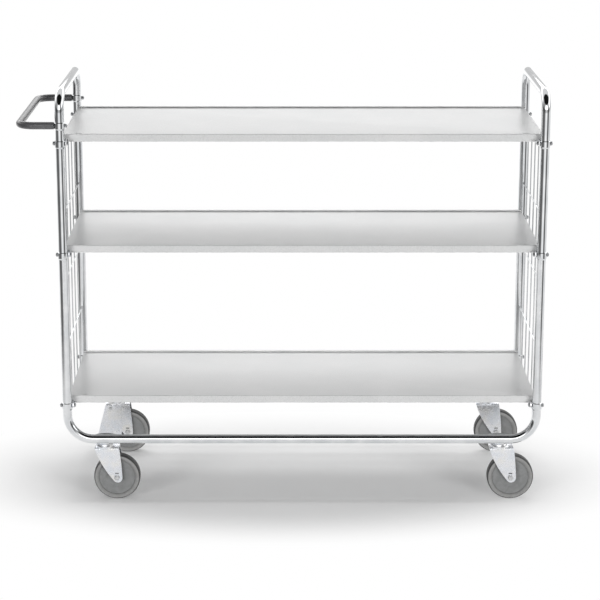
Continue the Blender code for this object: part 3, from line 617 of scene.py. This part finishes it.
def hoop(node):
    """An end hoop: an upturned U across the trolley, plugged into the top sockets."""
    low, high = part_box(node)
    x = middle(node).x
    top = high.z - tube_r
    front, rear = low.y + tube_r, high.y - tube_r
    corners = [Vector((x, front, low.z)), Vector((x, front, top)),
               Vector((x, rear, top)), Vector((x, rear, low.z))]
    dress(frame_tube(bmesh.new(), corners, X_AXIS, (False, False), HOOP_BEND_R), node)


def weld_bead(shape, start, end):
    """Adds a rippled weld bead along a straight line, thinner towards its two ends."""
    along = (end - start).normalized()
    count = int((end - start).length / BEAD_RIPPLE * BEAD_RIPPLE_STEPS)
    rings = []
    for step in range(count + 1):
        share = step / count
        ripple = math.cos(math.tau * step / BEAD_RIPPLE_STEPS)
        radius = BEAD_R * (1 - BEAD_RIPPLE_SHARE + BEAD_RIPPLE_SHARE * ripple)
        taper = min(1, BEAD_END_SHARE + BEAD_END_RISE * min(share, 1 - share))
        rings.append(ring(start.lerp(end, share), along, Z_AXIS, radius * taper, WIRE_SIDES))
    return skin(shape, rings)


def base_tube(row):
    """A long U with a socket at each end, and two castor pads welded under its inner side."""
    node = f"{row}_base_tube"
    low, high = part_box(node)
    y = middle(f"lower_post_{row}_left").y
    inward = 1 if row == "front" else -1
    z = low.z + tube_r
    left, right = low.x + socket_r, high.x - socket_r
    corners = [Vector((left, y, high.z)), Vector((left, y, z)),
               Vector((right, y, z)), Vector((right, y, high.z))]
    shape = frame_tube(bmesh.new(), corners, Y_AXIS, (True, True))
    edge_y = high.y if inward > 0 else low.y
    weld_y = y + inward * math.sqrt(tube_r ** 2 - PAD_DROP ** 2)
    pad_top = z - PAD_DROP
    pad_low = pad_top - PAD_THICKNESS
    for end in ENDS:
        x = middle(f"castor_head_{row}_{end}").x
        half = PAD_SIZE_X / 2
        inset = half - PAD_CORNER_R
        turn = edge_y - inward * PAD_CORNER_R
        corner_spots = []
        for side, start in ((1, 0), (-1, math.pi / 2)):
            for step in range(ROUND_STEPS + 1):
                angle = start + math.pi / 2 * step / ROUND_STEPS
                corner_spots.append((x + side * inset + PAD_CORNER_R * math.cos(angle),
                                     turn + inward * PAD_CORNER_R * math.sin(angle)))
        plan = [(x + half, weld_y - inward * TUBE_WALL), *corner_spots,
                (x - half, weld_y - inward * TUBE_WALL)]
        skin(shape, [[Vector((spot[0], spot[1], height)) for spot in plan]
                     for height in (pad_low, pad_top)])
        for height in (pad_low, pad_top):
            spread = half - BEAD_R
            weld_bead(shape, Vector((x - spread, weld_y, height)), Vector((x + spread, weld_y, height)))
    dress(shape, node)


def joint_bolt(level, row, end):
    """A bolt right through a socket joint: head and washer outside, nut behind the bearer bar."""
    node = f"{level}_bolt_{row}_{end}"
    low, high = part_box(node)
    centre = middle(node)
    outward = -X_AXIS if end == "left" else X_AXIS
    head_end, nut_end = (low.x, high.x) if end == "left" else (high.x, low.x)
    head = Vector((head_end, centre.y, centre.z)) - outward * BOLT_HEAD_HEIGHT
    nut = Vector((nut_end, centre.y, centre.z)) + outward * NUT_HEIGHT
    shape = bmesh.new()
    turned(shape, [(WASHER_R, 0), (WASHER_R, WASHER_HEIGHT / 2), (WASHER_R - FIT, WASHER_HEIGHT)],
           head, outward, TURNED_SIDES)
    hexagon(shape, head + outward * WASHER_HEIGHT, outward, BOLT_FLATS,
            BOLT_HEAD_HEIGHT - WASHER_HEIGHT)
    hexagon(shape, nut, -outward, BOLT_FLATS, NUT_HEIGHT - STUD_END)
    shank = [ring(spot, outward, Z_AXIS, BOLT_R, TURNED_SIDES)
             for spot in (head, nut - outward * NUT_HEIGHT)]
    dress(skin(shape, shank), node)


def push_handle():
    """The coated U with rounded ends, and the two studs that hold it with their nuts."""
    node = "push_handle"
    low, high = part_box(node)
    radius = (high.z - low.z) / 2
    z = (high.z + low.z) / 2
    joint = middle("front_handle_riser").x
    face = joint - socket_r - FIT
    end = face - HANDLE_END_ROUND
    reach = low.x + radius
    front, rear = low.y + radius, high.y - radius
    corners = [Vector((end, front, z)), Vector((reach, front, z)),
               Vector((reach, rear, z)), Vector((end, rear, z))]
    stations = route(corners, HANDLE_BEND_R)
    rings = [ring(spot, along, Z_AXIS, radius, TUBE_SIDES) for spot, along in stations]
    caps = []
    for spot, along in (stations[0], stations[-1]):
        cap = []
        for step in range(1, CAP_STEPS + 1):
            angle = math.pi / 2 * step / CAP_STEPS
            centre = spot + X_AXIS * HANDLE_END_ROUND * math.sin(angle)
            shrink = radius - HANDLE_END_ROUND * (1 - math.cos(angle))
            cap.append(ring(centre, along, Z_AXIS, shrink, TUBE_SIDES))
        caps.append(cap)
    shape = skin(bmesh.new(), caps[0][::-1] + rings + caps[1])
    for y in (front, rear):
        nut = Vector((high.x - NUT_HEIGHT, y, z))
        hexagon(shape, nut, X_AXIS, BOLT_FLATS, NUT_HEIGHT - STUD_END)
        stud = [ring(Vector((x, y, z)), X_AXIS, Z_AXIS, BOLT_R, TURNED_SIDES)
                for x in (end, high.x)]
        skin(shape, stud)
    piece = dress(shape, node)
    piece.data.materials.append(finishes["fastener_zinc"])
    for face in piece.data.polygons:
        if face.center.x > joint - socket_r - FIT / 2:
            face.material_index = 1


def shelf_outline(half, inset, drop, lift):
    """A shelf's bent section from front to back, `inset` inside its outer face, as (y, z) pairs."""
    front = -half + inset
    back = half - inset
    top = lift - inset
    bend_r = SHELF_BEND_R - inset
    ledge = half - REAR_LEDGE_DEPTH
    ledge_top = lift + REAR_LEDGE_RISE - inset
    throat = ledge + HEM_GAP[0] + inset
    hem = [(throat, top), (throat, ledge_top)]
    if inset == 0:
        hem[1:] = [(throat, top + HEM_GAP[1]), (ledge, top + HEM_GAP[1]), (ledge, ledge_top)]
    front_bend = arc((front + bend_r, top - bend_r), bend_r, math.pi, math.pi / 2, ROUND_STEPS)
    back_bend = arc((back - bend_r, ledge_top - bend_r), bend_r, math.pi / 2, 0, ROUND_STEPS)
    return [(front, drop), *front_bend, *hem, *back_bend, (back, drop)]


def press_mark(shape, place):
    """Adds the oval punch that presses a shallow mark into the sheet, but not through it."""
    turns = [math.tau * step / (4 * ROUND_STEPS) for step in range(4 * ROUND_STEPS)]
    skin(shape, [[place + Vector(((PRESS_MARK[0] + lift) * math.cos(turn),
                                  (PRESS_MARK[1] + lift) * math.sin(turn), lift)) for turn in turns]
                 for lift in (-PRESS_MARK_DEPTH, PRESS_MARK_DEPTH)])


def shelf(level):
    """A folded tray, open below, with lips all round and a raised ledge along the back."""
    node = f"{level}_shelf"
    low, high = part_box(node)
    half = (high.y - low.y) / 2
    deck = high.z - REAR_LEDGE_RISE
    skin_form = bar(bmesh.new(), shelf_outline(half, 0, low.z, deck), low.x, high.x, X_AXIS)
    hollow = bar(bmesh.new(), shelf_outline(half, SHELF_SHEET, low.z - CARVE_BEYOND, deck),
                 low.x + SHELF_SHEET, high.x - SHELF_SHEET, X_AXIS)
    marks = bmesh.new()
    for x in (low.x + PRESS_MARK_INSET, high.x - PRESS_MARK_INSET):
        press_mark(marks, Vector((x, low.y + PRESS_MARK_SETBACK, deck)))
    dress(carved(carved(skin_form, hollow), marks), node, SHELF_EDGE)


def wire_panel(end):
    """Cross wires plugged into the posts, with upright wires welded on their outer side."""
    node = f"{end}_wire_panel"
    low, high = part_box(node)
    outward = -1 if end == "left" else 1
    cross_x = middle(f"upper_post_front_{end}").x
    upright_x = cross_x + outward * (2 * WIRE_R - WIRE_WELD)
    lowest, highest = low.z + 2 * WIRE_R, high.z - 2 * WIRE_R
    centre_z = (lowest + highest) / 2
    heights = [lowest, *[centre_z + CROSS_WIRE_PITCH * step for step in CROSS_WIRES_AT], highest]
    shape = bmesh.new()
    radii = (WIRE_R - WIRE_END, WIRE_R, WIRE_R, WIRE_R - WIRE_END)
    for z in heights:
        ends = (low.y, low.y + WIRE_END, high.y - WIRE_END, high.y)
        skin(shape, [ring(Vector((cross_x, y, z)), Y_AXIS, Z_AXIS, radius, WIRE_SIDES)
                     for y, radius in zip(ends, radii)])
    for step in UPRIGHT_WIRES_AT:
        y = step * UPRIGHT_WIRE_PITCH
        ends = (low.z, low.z + WIRE_END, high.z - WIRE_END, high.z)
        skin(shape, [ring(Vector((upright_x, y, z)), Z_AXIS, X_AXIS, radius, WIRE_SIDES)
                     for z, radius in zip(ends, radii)])
    dress(shape, node)


def castor_head(corner):
    """The fixed upper race with its kingpin, nut above the pad and keeper flange under the crown."""
    node = f"castor_head_{corner}"
    low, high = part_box(node)
    centre = middle(node)
    foot = Vector((centre.x, centre.y, 0))
    nut_low = high.z - KINGPIN_NUT_HEIGHT
    race_top = nut_low - PAD_THICKNESS - 2 * FIT
    race_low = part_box(f"castor_fork_{corner}")[1].z + FIT
    flange_top = low.z + KINGPIN_FLANGE_HEIGHT
    ease = PRESSED_EDGE
    profile = [(KINGPIN_R - ease, nut_low + KINGPIN_NUT_HEIGHT * KINGPIN_END_SHARE),
               (KINGPIN_R, race_top), (RACE_R - ease, race_top), (RACE_R, race_top - ease),
               (RACE_R, race_top - RACE_WALL_SHARE * (race_top - race_low)),
               (RACE_R - RACE_CHANNEL, race_low), (KINGPIN_R, race_low), (KINGPIN_R, flange_top),
               (KINGPIN_FLANGE_R, flange_top), (KINGPIN_FLANGE_R, low.z + ease),
               (KINGPIN_FLANGE_R - ease, low.z)]
    shape = turned(bmesh.new(), profile, foot, Z_AXIS, TURNED_SIDES)
    hexagon(shape, foot + Z_AXIS * nut_low, Z_AXIS, KINGPIN_FLATS, KINGPIN_NUT_HEIGHT, X_AXIS)
    dress(shape, node)


def fork_outline(swivel_x, axle_x, axle_z, crown_z):
    """The side view of a fork leg as (x, z) pairs, from the crown's front down round the toe."""
    toe = (axle_x + FORK_TOE_OFFSET[0], axle_z + FORK_TOE_OFFSET[1])
    start = Vector((swivel_x + FORK_FRONT_X, crown_z))
    pull = Vector((swivel_x + FORK_EDGE_PULL[0], axle_z + FORK_EDGE_PULL[1]))
    toe_arc = arc(toe, FORK_TOE_R, FORK_TOE_START, math.tau, 2 * ROUND_STEPS)
    end = Vector(toe_arc[0])
    knee = Vector((swivel_x + FORK_KNEE[0], axle_z + FORK_KNEE[1]))
    back = Vector((swivel_x + FORK_BACK_X, crown_z))

    def curve(first, pulled, last):
        steps = 2 * ROUND_STEPS
        for step in range(steps):
            share = step / steps
            yield first * (1 - share) ** 2 + pulled * 2 * share * (1 - share) + last * share ** 2

    return [*curve(start, pull, end), *toe_arc, *list(curve(Vector(toe_arc[-1]), knee, back))[1:], back]


def castor_fork(corner):
    """The pressed fork: a U over the wheel with eased edges, and the lower race on its crown."""
    node = f"castor_fork_{corner}"
    low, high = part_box(node)
    swivel = middle(f"castor_head_{corner}")
    axle = middle(f"tyre_{corner}")
    inner = FORK_INNER_WIDTH / 2
    outer = inner + FORK_SHEET
    crown = high.z - FORK_RACE_HEIGHT
    outline = fork_outline(swivel.x, axle.x, axle.z, crown)
    shell = bar(bmesh.new(), outline, swivel.y - outer, swivel.y + outer)
    shoulder = [edge for edge in shell.edges
                if all(vert.co.z > crown - FIT for vert in edge.verts)
                and (edge.verts[0].co.y - swivel.y) * (edge.verts[1].co.y - swivel.y) > 0]
    bmesh.ops.bevel(shell, geom=shoulder, offset=FORK_SHOULDER_R, segments=ROUND_STEPS,
                    profile=0.5, affect="EDGES")
    inner_r = FORK_SHOULDER_R - FORK_SHEET
    roof = crown - FORK_SHEET
    gap = [(swivel.y - inner, low.z - CARVE_BEYOND),
           *[(swivel.y + y, z) for y, z in arc((-inner + inner_r, roof - inner_r), inner_r,
                                               math.pi, math.pi / 2, ROUND_STEPS)],
           *[(swivel.y + y, z) for y, z in arc((inner - inner_r, roof - inner_r), inner_r,
                                               math.pi / 2, 0, ROUND_STEPS)],
           (swivel.y + inner, low.z - CARVE_BEYOND)]
    hollow = bar(bmesh.new(), gap, low.x - CARVE_BEYOND, high.x + CARVE_BEYOND, X_AXIS)
    slot_low = axle.z + KEEPER_SLOT_RISE
    slot_half = KEEPER_SLOT[0] / 2
    slot = bar(bmesh.new(), [(axle.x - slot_half, slot_low), (axle.x + slot_half, slot_low),
                             (axle.x + slot_half, slot_low + KEEPER_SLOT[1]),
                             (axle.x - slot_half, slot_low + KEEPER_SLOT[1])],
               swivel.y - outer - CARVE_BEYOND, swivel.y + outer + CARVE_BEYOND)
    shape = carved(carved(shell, hollow), slot)
    foot = Vector((swivel.x, swivel.y, 0))
    turned(shape, [(RACE_R, roof + FIT), (RACE_R, crown + FORK_RACE_HEIGHT / 2),
                   (RACE_R - RACE_CHANNEL / 2, high.z - RACE_CHANNEL),
                   (RACE_R - RACE_CHANNEL, high.z)], foot, Z_AXIS, TURNED_SIDES)
    dress(shape, node, PRESSED_EDGE)


def wheel_axle(corner):
    """The axle bolt through fork and wheel: head and nut with turned-off corners on their washers."""
    node = f"wheel_axle_{corner}"
    low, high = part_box(node)
    centre = middle(node)
    shape = bmesh.new()
    for side, face in ((1, high.y), (-1, low.y)):
        outward = Y_AXIS * side
        seat = Vector((centre.x, face, centre.z)) - outward * AXLE_HEAD_HEIGHT
        turned(shape, [(AXLE_FLATS / 2, 0), (AXLE_FLATS / 2, WASHER_HEIGHT)], seat, outward,
               TURNED_SIDES)
        hexagon(shape, seat + outward * WASHER_HEIGHT, outward, AXLE_FLATS,
                AXLE_HEAD_HEIGHT - WASHER_HEIGHT)
    ends = [Vector((centre.x, y, centre.z)) for y in (low.y + WASHER_HEIGHT, high.y - WASHER_HEIGHT)]
    skin(shape, [ring(spot, Y_AXIS, Z_AXIS, AXLE_R, TURNED_SIDES) for spot in ends])
    dress(shape, node)


def wheel_core(corner):
    """The moulded wheel centre: hub, dished web and rim, with a stepped ring as moulds leave it."""
    node = f"wheel_core_{corner}"
    low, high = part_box(node)
    centre = middle(node)
    hub_half = (high.y - low.y) / 2
    rim_r = tyre_r - WHEEL_RIM_DEPTH - FIT
    rim_in = rim_r - RIM_DEPTH
    ease = PRESSED_EDGE
    step_r = (HUB_R + rim_in) / 2
    front = [(AXLE_R + FIT, hub_half), (HUB_R - ease, hub_half), (HUB_R, hub_half - ease),
             (HUB_R + WEB_SLOPE, WEB_HALF + ease), (HUB_R + 2 * WEB_SLOPE, WEB_HALF),
             (step_r, WEB_HALF), (step_r + ease, WEB_HALF + ease), (step_r + 3 * ease, WEB_HALF + ease),
             (rim_in - 2 * WEB_SLOPE, WEB_HALF + 2 * ease), (rim_in, RIM_HALF - FIT),
             (rim_in + 2 * ease, RIM_HALF), (rim_r - FIT, RIM_HALF), (rim_r, RIM_HALF - FIT)]
    profile = front + [(radius, -y) for radius, y in front[::-1]]
    dress(turned(bmesh.new(), profile, centre, Y_AXIS, WHEEL_SIDES, hollow=True), node)


def tyre(corner):
    """The solid tyre: sides that swell a little, round shoulders and a crowned tread with its seam."""
    node = f"tyre_{corner}"
    low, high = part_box(node)
    half = (high.y - low.y) / 2
    bore = tyre_r - WHEEL_RIM_DEPTH
    seam = FIT
    swell = arc((tyre_r - seam - TYRE_SHOULDER, half - TYRE_SHOULDER), TYRE_SHOULDER,
                math.pi / 2, 0, ROUND_STEPS)
    side = [(bore, RIM_HALF - FIT), (bore + FIT, RIM_HALF),
            (bore + WHEEL_RIM_DEPTH / 2, half - PRESSED_EDGE / 2), *swell,
            (tyre_r - seam, seam), (tyre_r, seam / 2)]
    profile = side + [(radius, -y) for radius, y in side[::-1]]
    dress(turned(bmesh.new(), profile, middle(node), Y_AXIS, WHEEL_SIDES, hollow=True), node)


def brake_yoke():
    """The pressed brake yoke: cheeks outside the fork, a web ahead of the wheel and a shoe on it."""
    node = "brake_yoke"
    low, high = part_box(node)
    swivel = middle("castor_head_rear_left")
    axle_z = middle("tyre_rear_left").z
    outer = (high.y - low.y) / 2 - BRAKE_RIVET_HEIGHT
    inner = outer - BRAKE_SHEET
    top_front = (swivel.x + BRAKE_TOP_FRONT_X, high.z)
    toe_front = (low.x, low.z)
    back_x = swivel.x + BRAKE_BACK_X
    outline = [top_front, toe_front, (low.x + BRAKE_TOE_LENGTH, low.z),
               (back_x, axle_z + BRAKE_BACK_LOW_END), (back_x, high.z - BRAKE_BACK_DROP)]
    shell = bar(bmesh.new(), outline, swivel.y - outer, swivel.y + outer)
    lean = (top_front[0] - toe_front[0]) / (top_front[1] - toe_front[1])

    def web_x(z):
        return toe_front[0] + lean * (z - toe_front[1]) + BRAKE_SHEET

    below, above, behind = low.z - CARVE_BEYOND, high.z + CARVE_BEYOND, back_x + CARVE_BEYOND
    inside = [(web_x(below), below), (behind, below), (behind, above), (web_x(above), above)]
    shape = carved(shell, bar(bmesh.new(), inside, swivel.y - inner, swivel.y + inner))
    shoe_low, shoe_high = axle_z - BRAKE_SHOE_HEIGHT / 2, axle_z + BRAKE_SHOE_HEIGHT / 2
    face = middle("tyre_rear_left").x - tyre_r - BRAKE_SHOE_GAP
    root = -BRAKE_SHEET / 2
    bar(shape, [(web_x(shoe_low) + root, shoe_low), (face, shoe_low), (face, shoe_high),
                (web_x(shoe_high) + root, shoe_high)],
        swivel.y - BRAKE_SHOE_WIDTH / 2, swivel.y + BRAKE_SHOE_WIDTH / 2)
    for side in (-1, 1):
        centre = Vector((swivel.x + BRAKE_RIVET_AT[0], swivel.y + side * outer,
                         axle_z + BRAKE_RIVET_AT[1]))
        dome = arc((0, 0), 1, 0, BRAKE_RIVET_DOME, ROUND_STEPS)
        turned(shape, [(BRAKE_RIVET_R * a, BRAKE_RIVET_HEIGHT * b) for a, b in dome], centre,
               Y_AXIS * side, TURNED_SIDES)
    dress(shape, node, PRESSED_EDGE)


def brake_pin():
    """The pin that the yoke swings on, with a domed head riveted over at each end."""
    node = "brake_pin"
    low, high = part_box(node)
    centre = middle(node)
    head_r = (high.z - low.z) / 2
    half = (high.y - low.y) / 2
    neck = half - BRAKE_PIN_HEAD
    dome = [(head_r * a, neck + BRAKE_PIN_HEAD * b)
            for a, b in arc((0, 0), 1, 0, BRAKE_PIN_DOME, ROUND_STEPS)]
    side = dome[::-1] + [(BOLT_R, neck)]
    profile = side + [(radius, -y) for radius, y in side[::-1]]
    dress(turned(bmesh.new(), profile, centre, Y_AXIS, TURNED_SIDES), node)


def bearer(level, end):
    """The slotted bar under a shelf keeps its CAD form and takes the zinc finish."""
    solid = solids[f"{level}_bearer_{end}"]
    solid.data.materials.clear()
    solid.data.materials.append(finishes["zinc_plate"])


def floor_sweep():
    """A pale matt floor. It is lit like any surface and keeps the shadow, with a small lift for the
    camera and a stronger one for mirrors. Further out it turns to the white of the background, and
    mirrors see it end softly where a studio floor ends."""
    material, tree, _ = begin("pale_studio_floor")
    place = add(tree, "NewGeometry").outputs["Position"]
    ray = add(tree, "LightPath")
    lit = add(tree, "BsdfDiffuse", {}, {"Color": linear("EAEAEA")})
    seen_lift = add(tree, "Math", {"operation": "MULTIPLY"},
                    {0: ray.outputs["Is Camera Ray"], 1: FLOOR_LIFT})
    lift = add(tree, "Math", {"operation": "MULTIPLY_ADD"}, {
        0: ray.outputs["Is Glossy Ray"], 1: MIRRORED_LIFT, 2: seen_lift.outputs["Value"]})
    glow = add(tree, "Emission", {}, {"Color": linear("FFFFFF"), "Strength": lift.outputs["Value"]})
    near = add(tree, "AddShader", {}, {0: lit.outputs[0], 1: glow.outputs[0]})
    white = add(tree, "Emission", {}, {"Color": linear("FFFFFF"), "Strength": 1})
    surface = near
    for stretch, (start, end), sight, beyond in (
            (SEEN_FLOOR, FLOOR_FADE, "Is Camera Ray", white),
            (MIRRORED_FLOOR, MIRRORED_FADE, "Is Glossy Ray", add(tree, "BsdfTransparent"))):
        reach = add(tree, "VectorMath", {"operation": "MULTIPLY"}, {0: place, 1: stretch})
        away = add(tree, "VectorMath", {"operation": "LENGTH"}, {0: reach.outputs["Vector"]})
        fade = add(tree, "MapRange", {"interpolation_type": "SMOOTHSTEP"}, {
            "Value": away.outputs["Value"], "From Min": start, "From Max": end})
        seen = add(tree, "Math", {"operation": "MULTIPLY"},
                   {0: fade.outputs["Result"], 1: ray.outputs[sight]})
        surface = add(tree, "MixShader", {}, {0: seen.outputs["Value"], 1: surface.outputs[0],
                                              2: beyond.outputs[0]})
    add(tree, "OutputMaterial", {}, {"Surface": surface.outputs[0]})
    shape = skin(bmesh.new(), [ring(Vector((0, 0, z)), Z_AXIS, X_AXIS, FLOOR_R, WHEEL_SIDES)
                               for z in (-FLOOR_DEPTH, 0)])
    floor = placed("floor", as_mesh(shape))
    floor.data.materials.append(material)


def studio_world():
    """White to the camera, and to matt surfaces a soft light that comes mostly from behind.

    Mirrors see a room of pale and dark bands round the horizon under a pale ceiling, with one dark flag
    hung above the camera's side, which is what makes chrome look like chrome.
    """
    world = bpy.data.worlds.new("studio")
    bpy.context.scene.world = world
    world.use_nodes = True
    tree = world.node_tree
    tree.nodes.clear()
    direction = add(tree, "TexCoord").outputs["Generated"]
    part = add(tree, "SeparateXYZ", {}, {"Vector": direction})
    toward = add(tree, "Math", {"operation": "MULTIPLY"}, {0: part.outputs["Y"], 1: -1})
    angle = add(tree, "Math", {"operation": "ARCTAN2"},
                {0: part.outputs["X"], 1: toward.outputs["Value"]})
    turn = add(tree, "MapRange", {}, {"Value": angle.outputs["Value"], "From Min": -math.pi,
                                      "From Max": math.pi})
    bands = add(tree, "ValToRGB", {"stops": [((degrees + 180) / 360, linear(shade))
                                             for degrees, shade in ROOM_BANDS]},
                {"Fac": turn.outputs["Result"]})
    height = add(tree, "MapRange", {"interpolation_type": "SMOOTHSTEP"}, {
        "Value": part.outputs["Z"], "From Min": CEILING_FROM[0], "From Max": CEILING_FROM[1]})
    room = add(tree, "Mix", {"data_type": "RGBA"}, {
        "Factor": height.outputs["Result"], "A": bands.outputs["Color"], "B": linear(CEILING)})
    flag = 1.0
    for axis, start, end in FLAG_EDGES:
        edge = add(tree, "MapRange", {"interpolation_type": "SMOOTHSTEP"}, {
            "Value": part.outputs[axis], "From Min": start, "From Max": end})
        flag = add(tree, "Math", {"operation": "MULTIPLY"},
                   {0: edge.outputs["Result"], 1: flag}).outputs["Value"]
    flagged = add(tree, "Mix", {"data_type": "RGBA"}, {
        "Factor": flag, "A": room.outputs["Result"], "B": linear(FLAG_SHADE)})
    rise = add(tree, "MapRange", {}, {"Value": part.outputs["Z"], "From Min": -1, "From Max": 1})
    level = add(tree, "ValToRGB", {"stops": [((sine + 1) / 2, linear(shade))
                                             for sine, shade in ROOM_LEVELS]},
                {"Fac": rise.outputs["Result"]})
    lit_room = add(tree, "Mix", {"data_type": "RGBA", "blend_type": "MULTIPLY"}, {
        "Factor": 1.0, "A": flagged.outputs["Result"], "B": level.outputs["Color"]})
    ray = add(tree, "LightPath")
    mirrored = add(tree, "Background", {}, {"Color": lit_room.outputs["Result"],
                                            "Strength": ROOM_LIGHT})
    ambient = add(tree, "MapRange", {}, {"Value": part.outputs["Y"], "From Min": -1, "From Max": 1,
                                         "To Min": AMBIENT_FRONT, "To Max": AMBIENT_BACK})
    even = add(tree, "Background", {}, {"Color": linear("FFFFFF"),
                                        "Strength": ambient.outputs["Result"]})
    white = add(tree, "Background", {}, {"Color": linear("FFFFFF"), "Strength": 1})
    lighting = add(tree, "MixShader", {}, {0: ray.outputs["Is Glossy Ray"], 1: even.outputs[0],
                                           2: mirrored.outputs[0]})
    seen = add(tree, "MixShader", {}, {0: ray.outputs["Is Camera Ray"], 1: lighting.outputs[0],
                                       2: white.outputs[0]})
    add(tree, "OutputWorld", {}, {"Surface": seen.outputs[0]})


def hidden_lamp(name, kind, strength, place):
    """A lamp that lights the trolley and that neither the camera nor mirrors see."""
    lamp = bpy.data.lights.new(name, kind)
    lamp.energy = strength
    holder = placed(name, lamp)
    holder.location = place
    holder.visible_camera = False
    holder.visible_glossy = False
    return holder


def softbox(name, size, place, power):
    """A rectangular lamp that faces the trolley's middle."""
    holder = hidden_lamp(name, "AREA", power, place)
    holder.data.shape = "RECTANGLE"
    holder.data.size, holder.data.size_y = size
    aim = Vector((place[0] * SOFTBOX_AIM_SHARE, 0, SOFTBOX_AIM_HEIGHT)) - Vector(place)
    holder.rotation_euler = aim.to_track_quat("-Z", "Y").to_euler()


def overhead_sun():
    """A light straight above, small enough to lay the shelves' shadow on the floor below them."""
    holder = hidden_lamp("overhead_light", "SUN", OVERHEAD_STRENGTH, OVERHEAD_PLACE)
    holder.data.angle = OVERHEAD_SPREAD


def photo_camera():
    """The photograph's angle: a little above the trolley, from far off, square to its front."""
    lens = bpy.data.cameras.new("photo_camera")
    lens.sensor_fit = "HORIZONTAL"
    lens.sensor_width = CAMERA_SENSOR
    lens.lens = CAMERA_LENS
    lens.shift_x, lens.shift_y = CAMERA_SHIFT
    camera = placed("photo_camera", lens)
    camera.location = CAMERA_PLACE
    camera.rotation_euler = (math.radians(90 - CAMERA_LOOKS_DOWN), 0, 0)
    bpy.context.scene.camera = camera


tube_r = (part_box("left_hoop")[1].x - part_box("left_hoop")[0].x) / 2
socket_r = (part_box("upper_post_front_left")[1].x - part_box("upper_post_front_left")[0].x) / 2
tyre_r = middle("tyre_front_left").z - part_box("tyre_front_left")[0].z

finishes = {
    "chrome_tube": chrome_plate(),
    "shelf_coat": shelf_powder_coat(),
    "handle_coat": handle_powder_coat(),
    "zinc_plate": bright_zinc(),
    "fastener_zinc": fastener_zinc(),
    "plain_steel": plain_steel(),
    "wheel_centre": moulded_nylon(),
    "tyre_rubber": grey_rubber(),
}

for row in ROWS:
    base_tube(row)
    post(f"{row}_handle_riser")
    for end in ENDS:
        corner = f"{row}_{end}"
        post(f"lower_post_{corner}")
        post(f"upper_post_{corner}")
        castor_head(corner)
        castor_fork(corner)
        wheel_axle(corner)
        wheel_core(corner)
        tyre(corner)
        for level in LEVELS:
            joint_bolt(level, row, end)
for end in ENDS:
    hoop(f"{end}_hoop")
    wire_panel(end)
    for level in LEVELS:
        bearer(level, end)
for level in LEVELS:
    shelf(level)
push_handle()
brake_yoke()
brake_pin()

floor_sweep()
studio_world()
overhead_sun()
for name, size, place, power in SOFTBOXES:
    softbox(name, size, place, power)
photo_camera()
bpy.context.scene.view_settings.view_transform = "Standard"
